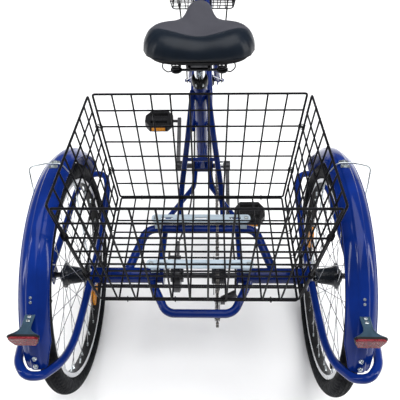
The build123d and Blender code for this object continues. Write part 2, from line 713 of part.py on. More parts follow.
def saddle_springs():
    """Two coil springs under the rear of the saddle, each as a turned barrel."""
    solids = []
    for side in (-1, 1):
        centre = (side * SPRING_X, SPRING_Y, RAIL_Z - 30)
        barrel = Pos(*centre) * Cylinder(12, 36, align=(Align.CENTER, Align.CENTER, Align.MIN))
        barrel += Pos(*centre) * Cylinder(14, 3, align=(Align.CENTER, Align.CENTER, Align.MAX))
        solids.append(barrel - rod((-SPRING_X, SPRING_Y, centre[2]), (SPRING_X, SPRING_Y, centre[2]), 3.2))
    return group(solids)


def seat_post():
    """The post, which slides in the seat tube, cut to sit under the saddle clamp."""
    clamp = seat_point(RAIL_Z - 20)
    post = rod(seat_point(BB_Z + 220), seat_point(RAIL_Z - 34), SEAT_POST_R, SEAT_POST_R - 2.2)
    post -= rod((-31, clamp.Y, clamp.Z - 2), (31, clamp.Y, clamp.Z - 2), 13)
    return post.solids().sort_by(SortBy.VOLUME)[-1]


# ---- steering ------------------------------------------------------------------------
def steer_up():
    return (steer_point(HEAD_TUBE_TOP_Z) - steer_point(HEAD_TUBE_LOW_Z)).normalized()


CROWN_DROP = 12.0
BLADE_X = 46.0
FRONT_AXLE_R = 4.9
AXLE_END_X = BLADE_X + 32


def fork():
    """Steerer, crown, two curved blades with slotted ends, and the front axle."""
    up = steer_up()
    crown = steer_point(HEAD_TUBE_LOW_Z) - up * CROWN_DROP
    steerer = rod(crown, steer_point(HEAD_TUBE_TOP_Z) + up * 14, STEERER_R, STEERER_R - 2.2)
    bridge = rod((-BLADE_X, crown.Y, crown.Z - 16), (BLADE_X, crown.Y, crown.Z - 16), 12.5)
    bridge += rod(crown - up * 18, crown + up * 2, 19)
    solids = steerer + bridge
    for side in (-1, 1):
        x = side * BLADE_X
        low = steer_point(WHEEL_R + 105, 0, x)
        blade = tube([(x, crown.Y, crown.Z - 16), low,
                      (side * (BLADE_X + 6), WHEELBASE - 6, WHEEL_R + 12)], 11.5, 110, 1.6)
        end = block((side * (BLADE_X + 6), WHEELBASE, WHEEL_R + 4), (5, 24, 34))
        solids += blade
        solids += end
    axle = rod((-AXLE_END_X, WHEELBASE, WHEEL_R), (AXLE_END_X, WHEELBASE, WHEEL_R), FRONT_AXLE_R)
    nuts = [ring(side * (BLADE_X + 12), WHEELBASE, WHEEL_R, 9, 0, 6) for side in (-1, 1)]
    solids += axle
    for nut in nuts:
        solids += nut
    return group([solids])


BAR_Z, BAR_FORWARD = 930.0, 52.0
GRIP_Y, GRIP_Z, GRIP_X = 560.0, 1040.0, 300.0


def stem():
    """The quill and its forward clamp on the handlebar."""
    up = steer_up()
    base = steer_point(HEAD_TUBE_TOP_Z) + up * 14
    top = steer_point(BAR_Z)
    clamp = steer_point(BAR_Z, BAR_FORWARD)
    quill = rod(base, top + up * 8, 11.1)
    quill += rod(base, base + up * 10, 19)
    arm = rod(top - up * 4, clamp, 11)
    barrel = ring(0, clamp.Y, clamp.Z, 20, 0, 46)
    body = quill + arm + barrel
    return body - ring(0, clamp.Y, clamp.Z, 12.7, 0, 60)


def handlebar_points():
    clamp = steer_point(BAR_Z, BAR_FORWARD)
    return [(0, clamp.Y, clamp.Z), (70, clamp.Y, clamp.Z), (150, clamp.Y - 10, GRIP_Z - 22),
            (248, clamp.Y - 34, GRIP_Z), (GRIP_X, GRIP_Y + 92, GRIP_Z),
             (GRIP_X + 10, GRIP_Y - 70, GRIP_Z - 6)]


def handlebar():
    """A swept cruiser bar."""
    half = tube(handlebar_points(), 11.1, 38, 1.8)
    centre = steer_point(BAR_Z, BAR_FORWARD)
    sleeve = rod((-24, centre.Y, centre.Z), (24, centre.Y, centre.Z), 12.7, 11.0)
    bar = half + mirrored(half)
    return group([bar + sleeve])


def grip_line():
    start = Vector(GRIP_X, GRIP_Y + 92, GRIP_Z)
    end = Vector(GRIP_X + 10, GRIP_Y - 70, GRIP_Z - 6)
    return start, end, (end - start).normalized()


def grips():
    start, end, along = grip_line()
    grip = rod(end - along * 114, end + along * 4, 16.5) - rod(end - along * 130, end, 11.1)
    return both_sides(grip)


LEVER_PIVOT = Vector(GRIP_X + 32, GRIP_Y + 76, GRIP_Z - 8)


def lever_mounts():
    """Clamp bands on the bar, each with a lever fork and its pivot pin."""
    start, end, along = grip_line()
    clamp = rod(end - along * 133, end - along * 117, 15.5)
    base = end - along * 125
    pivot = LEVER_PIVOT
    arm = rod((base.X + 12, base.Y, base.Z - 2), (pivot.X, pivot.Y + 13, pivot.Z), 5)
    pin = rod(pivot + Vector(0, 0, -9), pivot + Vector(0, 0, 9), 2.5)
    lower = block((pivot.X, pivot.Y + 4, pivot.Z - 8), (14, 22, 4))
    upper = block((pivot.X, pivot.Y + 4, pivot.Z + 8), (14, 22, 4))
    back = block((pivot.X, pivot.Y + 13, pivot.Z), (14, 4, 20))
    body = clamp + arm - Pos(*pivot) * Cylinder(8, 12)
    body += [pin, lower, upper, back]
    body -= rod(start, end, 11.1)
    return both_sides(body)


def brake_lever(side):
    """A lever blade that swings about an upright pin toward the grip."""
    pivot = LEVER_PIVOT
    blade = tube([(pivot.X, pivot.Y, pivot.Z), (pivot.X + 16, pivot.Y - 30, pivot.Z),
                  (pivot.X + 24, pivot.Y - 90, pivot.Z - 4),
                  (pivot.X + 20, pivot.Y - 128, pivot.Z - 4)], 5, 24)
    boss = Pos(*pivot) * Cylinder(6.4, 11.5)
    lever = blade + boss
    lever -= Pos(*pivot) * Cylinder(2.5 + RUNNING_FIT, 40)
    lever = group([lever])
    return lever if side > 0 else mirrored(lever)


def axle_eye(x, side):
    """A small eye that a wire stay has round the front axle."""
    return ring(side * x, WHEELBASE, WHEEL_R, 8, FRONT_AXLE_R, 2.6)


def front_fender():
    """The front mudguard and its two wire stays."""
    shell = fender(FRONT, FRONT_FENDER_R, 55, 150)
    solids = [shell]
    angle = math.radians(145)
    reach = FRONT_FENDER_R - 10
    for side in (-1, 1):
        top = (side * (FENDER_WIDTH / 2 + 2), WHEELBASE + reach * math.cos(angle),
               WHEEL_R + reach * math.sin(angle))
        eye_x = AXLE_END_X - 4
        stay = rod((side * eye_x, WHEELBASE - 6, WHEEL_R + 4), top, STAY_R)
        solids.append(stay - ring(side * eye_x, WHEELBASE, WHEEL_R, 6, 0, 12) + axle_eye(eye_x, side))
    return group(solids)


FRONT_BASKET_FLOOR = (200.0, 826.0, 972.0, 652.0)
FRONT_BASKET_TOP = (290.0, 800.0, 1026.0, 866.0)


def front_basket():
    """The small wire basket ahead of the handlebar, with its two support struts."""
    floor_width, floor_rear, floor_fore, floor_z = FRONT_BASKET_FLOOR
    gap = 4.0
    half = floor_width / 2 - gap
    floor = [(-half, floor_rear + gap, floor_z), (half, floor_rear + gap, floor_z),
             (half, floor_fore - gap, floor_z), (-half, floor_fore - gap, floor_z)]
    panels = [grid_panel(floor, 8, 6)]
    for front in (False, True):
        corners = [front_basket_corner(side, front, top, gap, 0)
                   for side, top in ((-1, False), (1, False), (1, True), (-1, True))]
        panels.append(grid_panel(corners, 8, 6))
    for side in (-1, 1):
        corners = [front_basket_corner(side, front, top, 0, gap)
                   for front, top in ((False, False), (True, False), (True, True), (False, True))]
        panels.append(grid_panel(corners, 6, 6))
    return group(panels + basket_struts())


def front_basket_corner(side, front, top, inset_x, inset_y):
    """One corner of the front basket, drawn in by the gap between its panels."""
    width, rear, fore, z = FRONT_BASKET_TOP if top else FRONT_BASKET_FLOOR
    y = fore - inset_y if front else rear + inset_y
    return (side * (width / 2 - inset_x), y, z if top else z + 4)


def basket_struts():
    """Wire struts from the front axle up to the front basket's floor."""
    solids = []
    for side in (-1, 1):
        x = side * (AXLE_END_X - 9)
        strut = tube([(x, WHEELBASE, WHEEL_R + 6), (x, WHEELBASE + 2, WHEEL_R + 60),
                      (side * 86, 946, 628), (side * 86, 928, 649)], 2.6, 18)
        solids.append(strut + axle_eye(AXLE_END_X - 9, side))
    return solids


# ---- cables --------------------------------------------------------------------------
CABLE_R = 2.5


def cable(points):
    """A cable housing on an even route, with bends as large as its runs allow."""
    points = [Vector(*point) for point in points]
    path = FilletPolyline(*points, radius=corner_radii(points, 0.45))
    plane = Plane(origin=path @ 0, z_dir=path % 0)
    return sweep(plane * Circle(CABLE_R), path=path)


def frame_cables():
    """The rear brake and gear cables, from the head tube down to the axle."""
    shared = [(26, 752, 762), (27, 742, 712), (26, 700, 640), (25, 640, 556), (25, 580, 470),
              (26, 520, 386), (27, 462, 322)]
    brake = cable([(-x, y, z) for x, y, z in shared] + [
        (-28, 400, 302), (-30, 330, 298), (-34, 260, 298), (-42, 200, 300), (-52, 152, 304), (-60, 112, 312)])
    gear = cable(shared + [
        (29, 400, 299), (38, 340, 296), (66, 275, 297), (86, 212, 301), (90, 146, 299), (92, 86, 290),
        (96, 38, 273), (98, 8, 256)])
    return group([brake, gear])


def steering_cables():
    """The cable ends between the levers and the head tube, which turn with the bar."""
    start = LEVER_PIVOT + Vector(0, 18, 0)
    left = cable([(-start.X, start.Y, start.Z), (-start.X + 16, start.Y + 56, start.Z + 4),
                  (-250, 748, 1020), (-170, 782, 976), (-96, 790, 912), (-44, 780, 846), (-26, 760, 776)])
    return both_sides(left)


# ---- drive ---------------------------------------------------------------------------
def drive_axle():
    """The live rear axle with the brake drum and the nuts at its ends."""
    end = HALF_TRACK + 66
    shaft = rod((-end, 0, WHEEL_R), (end, 0, WHEEL_R), AXLE_R)
    drum = ring(BRAKE_X, 0, WHEEL_R, 41, 0, 20) + ring(BRAKE_X, 0, WHEEL_R, 18, 0, 34)
    return group([shaft + drum])


def cassette():
    """A six-speed sprocket stack on its carrier."""
    teeth = [24, 22, COG_TEETH, 18, 16, 14]
    solids = None
    for index, count in enumerate(teeth):
        x = CHAIN_X + (index - 2) * 5.0
        disc = toothed_disc(x, 0, WHEEL_R, count, AXLE_R, 1.8)
        solids = disc if solids is None else solids + disc
    carrier = ring(CHAIN_X + 2.5, 0, WHEEL_R, 22, AXLE_R, 36)
    return group([solids + carrier])


def crank_tip(sense):
    angle = math.radians(CRANK_REST_DEG)
    return BB_Y + sense * CRANK_LENGTH * math.cos(angle), BB_Z + sense * CRANK_LENGTH * math.sin(angle)


def cranks():
    """Spindle, two arms and the two pedal axles. The left arm points forward."""
    spindle = rod((-80, BB_Y, BB_Z), (80, BB_Y, BB_Z), 8.5)
    body = spindle
    for side, sense in ((-1, 1), (1, -1)):
        y, z = crank_tip(sense)
        arm = crank_arm(side, y, z)
        axle = rod((side * 84, y, z), (side * (PEDAL_X + PEDAL_WIDTH / 2 - 6), y, z), 5.0)
        body = body + arm + axle
    return group([body])


def crank_arm(side, y, z):
    """One tapered crank arm."""
    x = side * 82
    arm = flat_bar((x, BB_Y, BB_Z), (x, y, z), 25, 12)
    boss = ring(side * 80, BB_Y, BB_Z, 17, 0, 22)
    return arm + boss


def chainring():
    """The chain wheel with its spider and five windows."""
    disc = toothed_disc(CHAIN_X, BB_Y, BB_Z, CHAINRING_TEETH, 8.5, 2.2)
    for index in range(5):
        angle = math.radians(72 * index + 20)
        y, z = BB_Y + 50 * math.cos(angle), BB_Z + 50 * math.sin(angle)
        disc -= ring(CHAIN_X, y, z, 19, 0, 10)
    boss = ring(CHAIN_X + 11, BB_Y, BB_Z, 17, 8.5, 20)
    return group([disc + boss])


def pedal(side):
    """A moulded block pedal with cut corners, two windows and a reflector at each end."""
    y, z = crank_tip(1 if side < 0 else -1)
    centre = (side * PEDAL_X, y, z)
    half_x, half_y = PEDAL_WIDTH / 2, PEDAL_LENGTH / 2
    outline = Polyline((-30, -half_y), (30, -half_y), (half_x, -16), (half_x, 16), (30, half_y),
                       (-30, half_y),
                       (-half_x, 16), (-half_x, -16), close=True)
    shape = Pos(centre[0], y, z - PEDAL_HEIGHT / 2) * extrude(make_face(outline), PEDAL_HEIGHT)
    for window in (-1, 1):
        shape -= block((centre[0], y + window * 21, z), (58, 15, PEDAL_HEIGHT + 4))
    shape -= rod((side * 80, y, z), (side * (PEDAL_X + PEDAL_WIDTH / 2 - 5), y, z), 5.0 + RUNNING_FIT)
    solids = [shape]
    for end in (-1, 1):
        solids.append(block((centre[0], y + end * (half_y + 1.5), z), (52, 3, 17)))
    return group(solids)


# ---- export --------------------------------------------------------------------------
def named_parts():
    """Every node's name and shape."""
    parts = {
        "seat_tube": seat_tube(),
        "front_tubes": front_tubes(),
        "head_tube": head_tube(),
        "seat_stays": seat_stays(),
        "chain_stays": chain_stays(),
        "axle_housing": axle_housing(),
        "front_hoop": front_hoop(),
        "rear_bumper": rear_bumper(),
        "wheel_guard_left": wheel_guard(-1),
        "wheel_guard_right": wheel_guard(1),
        "support_plates": support_plates(),
        "bearings": bearings(),
        "brake_band": brake_band(),
        "derailleur": derailleur(),
        "derailleur_cage": derailleur_cage(),
        "fender_left": rear_fender(-1),
        "fender_right": rear_fender(1),
        "fender_brackets": fender_brackets(),
        "reflector_lenses": group([reflector_lens(-1), reflector_lens(1)]),
        "basket_floor": basket_floor(),
        "basket_front_wall": basket_end_wall(True),
        "basket_rear_wall": basket_end_wall(False),
        "basket_left_wall": basket_side_wall(-1),
        "basket_right_wall": basket_side_wall(1),
        "frame_bolts": frame_bolts(),
        "chain": chain(),
        "frame_cables": frame_cables(),
        "seat_post": seat_post(),
        "saddle_cover": saddle_cover(),
        "saddle_base": saddle_base(),
        "saddle_rails": saddle_rails(),
        "saddle_springs": saddle_springs(),
        "fork": fork(),
        "stem": stem(),
        "handlebar": handlebar(),
        "grips": grips(),
        "lever_mounts": lever_mounts(),
        "brake_lever_left": brake_lever(-1),
        "brake_lever_right": brake_lever(1),
        "front_fender": front_fender(),
        "front_basket": front_basket(),
        "steering_cables": steering_cables(),
        "drive_axle": drive_axle(),
        "cassette": cassette(),
        "cranks": cranks(),
        "chainring": chainring(),
        "pedal_left": pedal(-1),
        "pedal_right": pedal(1),
    }
    wheels = (("front", FRONT, FRONT_AXLE_R + RUNNING_FIT, 1),
              ("rear_left", REAR_LEFT, AXLE_R + RUNNING_FIT, -1),
              ("rear_right", REAR_RIGHT, AXLE_R, 1))
    for name, centre, bore, outer_side in wheels:
        parts[name + "_tyre"] = tyre(centre)
        parts[name + "_rim"] = rim(centre)
        parts[name + "_hub"] = hub(centre, bore, outer_side)
        parts[name + "_spokes"] = spokes(centre)
    return parts


os.makedirs("parts", exist_ok=True)
for node, shape in named_parts().items():
    export_step(Location((0, ORIGIN_Y, 0)) * group([shape]), f"parts/{node}.step")
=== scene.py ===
import math

import bmesh
import bpy
from mathutils import Matrix, Vector
from mathutils.kdtree import KDTree


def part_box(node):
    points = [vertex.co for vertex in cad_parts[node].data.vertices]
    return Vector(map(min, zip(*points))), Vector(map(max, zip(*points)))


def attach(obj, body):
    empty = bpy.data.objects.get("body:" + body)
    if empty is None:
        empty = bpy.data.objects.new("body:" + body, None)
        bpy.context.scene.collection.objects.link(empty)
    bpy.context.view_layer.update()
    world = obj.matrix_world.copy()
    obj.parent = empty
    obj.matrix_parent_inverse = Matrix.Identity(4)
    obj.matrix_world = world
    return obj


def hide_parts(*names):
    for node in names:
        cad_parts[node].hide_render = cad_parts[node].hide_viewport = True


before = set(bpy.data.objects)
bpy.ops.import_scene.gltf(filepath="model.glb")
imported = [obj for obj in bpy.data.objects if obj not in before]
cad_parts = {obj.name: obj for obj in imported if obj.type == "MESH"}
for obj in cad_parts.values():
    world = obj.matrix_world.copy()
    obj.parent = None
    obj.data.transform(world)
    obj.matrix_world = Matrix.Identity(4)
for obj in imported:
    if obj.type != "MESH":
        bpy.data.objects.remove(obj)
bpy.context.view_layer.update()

# Lengths below are in millimetres from the rear axle's line, as in the CAD drawing, and
# place() turns them into metres in the row frame. Angles are in degrees.
AXLE = (Vector(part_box("rear_left_tyre")[0]) + Vector(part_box("rear_left_tyre")[1])) / 2
WHEEL_R = 300.0
TRACK_X = 332.0
BB_Y, BB_Z = 460.0, 280.0
SEAT_TUBE_TURN = math.radians(72)
CRANK_LENGTH, CRANK_TURN, PEDAL_X = 170.0, math.radians(24), 152.0
CHAIN_X = 46.0


def place(x, y, z):
    """A point of the drawing, in metres in the row frame."""
    return Vector((x / 1000, AXLE.y + y / 1000, z / 1000))


def placed(points):
    """Points of the drawing, in metres in the row frame."""
    return [place(*point) for point in points]


def middle(node):
    """The middle of a CAD node's box."""
    low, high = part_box(node)
    return (Vector(low) + Vector(high)) / 2


def spoke_way(degrees):
    """A unit vector in the wheels' plane: 0 is forward and 90 is up."""
    return Vector((0, math.cos(math.radians(degrees)), math.sin(math.radians(degrees))))


def seat_axis_point(z):
    """A point on the seat tube's axis at height z, in the drawing's millimetres."""
    return Vector((0, BB_Y - (z - BB_Z) / math.tan(SEAT_TUBE_TURN), z))


# ---- mesh making ---------------------------------------------------------------------
class Shape:
    """Points, faces and each face's material number, gathered for one piece."""

    def __init__(self):
        self.points = []
        self.faces = []
        self.skins = []

    def add(self, points, faces, skin=0):
        """Adds faces over their own points. skin is one number or a list with one for each face."""
        first = len(self.points)
        self.points += [tuple(point) for point in points]
        self.faces += [tuple(first + corner for corner in face) for face in faces]
        self.skins += skin if isinstance(skin, list) else [skin] * len(faces)


def grid_faces(rows, columns, wrap_rows, wrap_columns):
    """Quads over rows of points, joined end to end in the directions that wrap."""
    faces = []
    for row in range(rows if wrap_rows else rows - 1):
        here, there = row * columns, (row + 1) % rows * columns
        for column in range(columns if wrap_columns else columns - 1):
            after = (column + 1) % columns
            faces.append((here + column, here + after, there + after, there + column))
    return faces


def shell(shape, outer, inner):
    """A closed shell between two grids of points, each a list of equal rows."""
    rows, width = len(outer), len(outer[0])
    shift = rows * width
    faces = grid_faces(rows, width, False, False)
    faces += [tuple(shift + corner for corner in reversed(face)) for face in faces]
    rim = list(range(width))
    rim += [row * width + width - 1 for row in range(1, rows)]
    rim += [(rows - 1) * width + column for column in range(width - 2, -1, -1)]
    rim += [row * width for row in range(rows - 2, 0, -1)]
    faces += [(a, b, shift + b, shift + a) for a, b in zip(rim, rim[1:] + rim[:1])]
    shape.add([point for grid in (outer, inner) for row in grid for point in row], faces)


def cross_directions(path, closed):
    """Two directions square to a path at each of its points, carried along without twist."""
    count = len(path)
    side = None
    pairs = []
    for index in range(count):
        ahead = path[(index + 1) % count] if closed else path[min(index + 1, count - 1)]
        behind = path[index - 1] if closed or index else path[0]
        tangent = (ahead - behind).normalized()
        side = tangent.orthogonal() if side is None else side
        side = (side - tangent * side.dot(tangent)).normalized()
        pairs.append((side, tangent.cross(side)))
    return pairs


def sweep(shape, path, radius, sides=8, closed=False, skin=0):
    """A round bar along a path. radius is one number or one for each point."""
    path = [Vector(point) for point in path]
    sizes = radius if isinstance(radius, list) else [radius] * len(path)
    points = []
    for centre, size, (u, v) in zip(path, sizes, cross_directions(path, closed)):
        for corner in range(sides):
            turn = 2 * math.pi * corner / sides
            points.append(centre + (u * math.cos(turn) + v * math.sin(turn)) * size)
    rings = len(path)
    faces = grid_faces(rings, sides, closed, True)
    if not closed:
        faces.append(tuple(reversed(range(sides))))
        faces.append(tuple((rings - 1) * sides + corner for corner in range(sides)))
    shape.add(points, faces, skin)


def rounded(corners, radius, closed=False, steps=6):
    """A path through corners with each corner eased into a bend."""
    corners = [Vector(corner) for corner in corners]
    count = len(corners)
    path = []
    for index, here in enumerate(corners):
        if not closed and index in (0, count - 1):
            path.append(here)
            continue
        before, after = corners[index - 1], corners[(index + 1) % count]
        back, on = (before - here), (after - here)
        turn = math.pi - back.angle(on)
        reach = min(radius * math.tan(turn / 2), 0.46 * min(back.length, on.length))
        start, end = here + back.normalized() * reach, here + on.normalized() * reach
        for step in range(steps + 1):
            t = step / steps
            path.append(start * (1 - t) ** 2 + here * 2 * t * (1 - t) + end * t * t)
    return path


def helix(centre, u, v, climb, turns, steps, swell=0.0):
    """A spiral about a centre: u and v are its radii, climb its length, swell how far its middle widens."""
    path = []
    for step in range(steps + 1):
        share = step / steps
        turn = 2 * math.pi * turns * share
        out = (u * math.cos(turn) + v * math.sin(turn)) * (1 + swell * math.sin(math.pi * share))
        path.append(centre + climb * (share - 0.5) + out)
    return path


def turned(shape, centre, along, profile, segments=64, closed=False, skin=0):
    """A profile of (distance along, radius) pairs turned about a line through centre.

    skin is one number or a list with one for each strip of the profile.
    """
    centre, along = Vector(centre), Vector(along).normalized()
    u = Vector((0, 1, 0)) if abs(along.x) > 0.9 else along.orthogonal().normalized()
    v = along.cross(u)
    count = len(profile)
    points = []
    for segment in range(segments):
        turn = 2 * math.pi * segment / segments
        out = u * math.cos(turn) + v * math.sin(turn)
        points += [centre + along * step + out * radius for step, radius in profile]
    faces = grid_faces(segments, count, True, closed)
    skins = skin * segments if isinstance(skin, list) else [skin] * len(faces)
    if not closed:
        for strip in (0, count - 1):
            if profile[strip][1] > 1e-6:
                faces.append(tuple(segment * count + strip for segment in range(segments)))
                skins.append(skin)
    shape.add(points, faces, skins)


def prism(shape, outline, lift, skin=0):
    """A flat outline of points thickened along the vector lift."""
    outline = [Vector(point) for point in outline]
    count = len(outline)
    points = outline + [point + Vector(lift) for point in outline]
    faces = [(i, (i + 1) % count, count + (i + 1) % count, count + i) for i in range(count)]
    faces += [tuple(reversed(range(count))), tuple(range(count, 2 * count))]
    shape.add(points, faces, skin)


def block(shape, centre, size, skin=0):
    """An upright box about its centre."""
    x, y, z = (part / 2 for part in size)
    foot = ((-x, -y, -z), (x, -y, -z), (x, y, -z), (-x, y, -z))
    prism(shape, [Vector(centre) + Vector(corner) for corner in foot], (0, 0, 2 * z), skin)


def cap_bolt(shape, spot, out, size=1.0, skin=0):
    """A domed cap bolt with a hexagon socket, on a washer."""
    profile = [(0, 6.8), (1.2, 6.8), (1.3, 5.2), (3.0, 5.1), (4.4, 4.2), (4.9, 2.6), (3.4, 2.4), (3.3, 0)]
    scaled = [(along * size / 1000, radius * size / 1000) for along, radius in profile]
    turned(shape, place(*spot), out, scaled, 24, skin=skin)


def linked(name, data):
    """A new object in the scene that holds the data."""
    made = bpy.data.objects.new(name, data)
    bpy.context.collection.objects.link(made)
    return made


def piece(name, shape, skins, body, replaces=(), sharp=35, bevel=0.0, origin=None):
    """The object made from a shape, riding on a body and standing for CAD nodes."""
    data = bpy.data.meshes.new(name)
    data.from_pydata(shape.points, [], shape.faces)
    for skin in skins:
        data.materials.append(skin)
    data.polygons.foreach_set("material_index", shape.skins)
    work = bmesh.new()
    work.from_mesh(data)
    bmesh.ops.recalc_face_normals(work, faces=work.faces)
    work.to_mesh(data)
    work.free()
    data.shade_smooth()
    data.set_sharp_from_angle(angle=math.radians(sharp))
    made = linked(name, data)
    if origin is not None:
        data.transform(Matrix.Translation(-origin))
        made.location = origin
    if bevel:
        soften(made, bevel)
    if replaces:
        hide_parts(*replaces)
    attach(made, body)
    return made


def modify(made, kind, **settings):
    """Adds a modifier with its settings."""
    added = made.modifiers.new(kind.lower(), kind)
    for setting, value in settings.items():
        setattr(added, setting, value)


def soften(made, width, weld=False):
    """Rounds a piece's hard edges by width metres."""
    if weld:
        modify(made, "WELD", merge_threshold=0.00002)
    modify(made, "BEVEL", width=width, segments=2, limit_method="ANGLE", angle_limit=math.radians(32),
           harden_normals=True)


# ---- materials -----------------------------------------------------------------------
class Skin:
    """A Principled material and the textures that vary it."""

    def __init__(self, name, sockets):
        self.material = bpy.data.materials.new(name)
        self.material.use_nodes = True
        self.tree = self.material.node_tree
        self.shader = self.tree.nodes["Principled BSDF"]
        for socket, value in sockets.items():
            self.shader.inputs[socket].default_value = value
        self.place = self.tree.nodes.new("ShaderNodeTexCoord").outputs["Object"]
        self.surface = None

    def node(self, kind, inputs=None, **settings):
        made = self.tree.nodes.new(kind)
        for setting, value in settings.items():
            setattr(made, setting, value)
        for socket, value in (inputs or {}).items():
            if isinstance(value, bpy.types.NodeSocket):
                self.tree.links.new(value, made.inputs[socket])
            else:
                made.inputs[socket].default_value = value
        return made

    def feed(self, socket, output):
        """Links a node's output to a socket of the shader."""
        self.tree.links.new(output, self.shader.inputs[socket])

    def stretched(self, stretch):
        return self.node("ShaderNodeMapping", {"Vector": self.place, "Scale": stretch}).outputs["Vector"]

    def noise(self, scale, detail=3.0, stretch=(1, 1, 1)):
        return self.node("ShaderNodeTexNoise", {"Vector": self.stretched(stretch), "Scale": scale,
                                                "Detail": detail, "Roughness": 0.55}).outputs["Fac"]

    def cells(self, scale, feature="DISTANCE_TO_EDGE", stretch=(1, 1, 1)):
        return self.node("ShaderNodeTexVoronoi", {"Vector": self.stretched(stretch), "Scale": scale},
                         feature=feature).outputs["Distance"]

    def tint(self, amount, low, high, start=0.35, end=0.65):
        """The base colour runs from low to high as amount goes from start to end."""
        ramp = self.node("ShaderNodeValToRGB", {"Fac": amount})
        for element, spot, colour in zip(ramp.color_ramp.elements, (start, end), (low, high)):
            element.position = spot
            element.color = (*colour, 1)
        self.feed("Base Color", ramp.outputs["Color"])

    def mottled(self, scale, detail, colour, low, high):
        """The base colour drifts between a darker and a lighter shade of one colour."""
        self.tint(self.noise(scale, detail), shade(colour, low), shade(colour, high))

    def mapped(self, value, start, end, low=0.0, high=1.0, curve="LINEAR"):
        """The value's run from start to end, carried to low to high."""
        sockets = {"Value": value, "From Min": start, "From Max": end, "To Min": low, "To Max": high}
        return self.node("ShaderNodeMapRange", sockets, interpolation_type=curve).outputs["Result"]

    def rough(self, amount, low, high, start=0.3, end=0.7):
        """The roughness runs from low to high as amount goes from start to end."""
        self.feed("Roughness", self.mapped(amount, start, end, low, high))

    def maths(self, operation, first, second):
        return self.node("ShaderNodeMath", {0: first, 1: second}, operation=operation).outputs[0]

    def mixed(self, amount, low, high):
        """A colour that runs from low to high with amount."""
        sockets = {"Factor": amount, "A": low, "B": high}
        return self.node("ShaderNodeMix", sockets, data_type="RGBA").outputs["Result"]

    def bump(self, height, distance, strength=1.0):
        """Adds a relief of the given depth, in metres, on top of those before it."""
        inputs = {"Height": height, "Distance": distance, "Strength": strength}
        if self.surface is not None:
            inputs["Normal"] = self.surface
        self.surface = self.node("ShaderNodeBump", inputs).outputs["Normal"]
        self.feed("Normal", self.surface)


def shade(colour, factor):
    """A lighter or darker colour of the same hue."""
    return tuple(min(1.0, part * factor) for part in colour)


def enamel(name, colour):
    """Deep gloss stove enamel with faint orange peel and a little dust in the lacquer."""
    skin = Skin(name, {"Coat Weight": 0.35, "Coat Roughness": 0.04, "Coat IOR": 1.4, "IOR": 1.45,
                       "Specular IOR Level": 0.1})
    skin.mottled(9, 4, colour, 0.78, 1.25)
    skin.rough(skin.noise(60, 5), 0.1, 0.2)
    skin.bump(skin.noise(260, 2), 0.00003)
    skin.bump(skin.noise(2600, 2), 0.00001)
    return skin.material


def coated_wire():
    """Black dipped plastic over wire, with soft sags and a fine skin."""
    skin = Skin("coated_wire", {"IOR": 1.5, "Specular IOR Level": 0.12})
    skin.tint(skin.noise(45, 4), (0.002, 0.002, 0.003), (0.007, 0.007, 0.009))
    skin.rough(skin.noise(120, 4), 0.26, 0.48)
    skin.bump(skin.noise(420, 3), 0.00012)
    return skin.material


def brushed(name, colour, low, high, stretch, scale=12.0, metallic=1.0, dark=0.6):
    """Metal with a directional brushed grain."""
    skin = Skin(name, {"Metallic": metallic, "Anisotropic": 0.35})
    grain = skin.noise(scale, 6, stretch)
    skin.tint(grain, shade(colour, dark), colour, 0.3, 0.62)
    skin.rough(skin.noise(35, 5), low, high)
    skin.bump(grain, 0.00002)
    return skin.material


def chrome():
    """Bright chrome plate with faint hazing."""
    skin = Skin("chrome", {"Metallic": 1.0})
    skin.tint(skin.noise(14, 3), (0.62, 0.64, 0.67), (0.86, 0.87, 0.88))
    skin.rough(skin.noise(70, 5), 0.05, 0.16)
    skin.bump(skin.noise(500, 3), 0.00001)
    return skin.material


def machined_rim():
    """Alloy turned on a lathe: fine rings round the wheel's own axis."""
    skin = Skin("machined_rim", {"Metallic": 1.0, "Anisotropic": 0.5})
    rings = skin.node("ShaderNodeTexWave", {"Vector": skin.place, "Scale": 210.0, "Distortion": 0.3,
                                            "Detail": 2.0}, wave_type="RINGS", rings_direction="X")
    skin.tint(rings.outputs["Fac"], (0.5, 0.51, 0.53), (0.84, 0.85, 0.86), 0.1, 0.9)
    skin.rough(skin.noise(30, 4), 0.22, 0.4)
    skin.bump(rings.outputs["Fac"], 0.00004)
    return skin.material


def satin_black(name, colour, low, high, grain=900, coat=0.0):
    """Moulded plastic or black anodising with a spark-eroded texture."""
    skin = Skin(name, {"IOR": 1.48, "Coat Weight": coat, "Coat Roughness": 0.15, "Specular IOR Level": 0.18})
    skin.mottled(22, 4, colour, 0.6, 1.5)
    skin.rough(skin.noise(80, 5), low, high)
    skin.bump(skin.noise(grain, 3), 0.00003)
    return skin.material


def rubber(name, colour):
    """Vulcanised rubber with a dusty bloom."""
    skin = Skin(name, {"IOR": 1.5, "Specular IOR Level": 0.04})
    skin.mottled(28, 6, colour, 0.6, 1.7)
    skin.rough(skin.noise(95, 5), 0.42, 0.72)
    skin.bump(skin.noise(1500, 3), 0.00003)
    skin.bump(skin.noise(240, 3), 0.00006)
    return skin.material


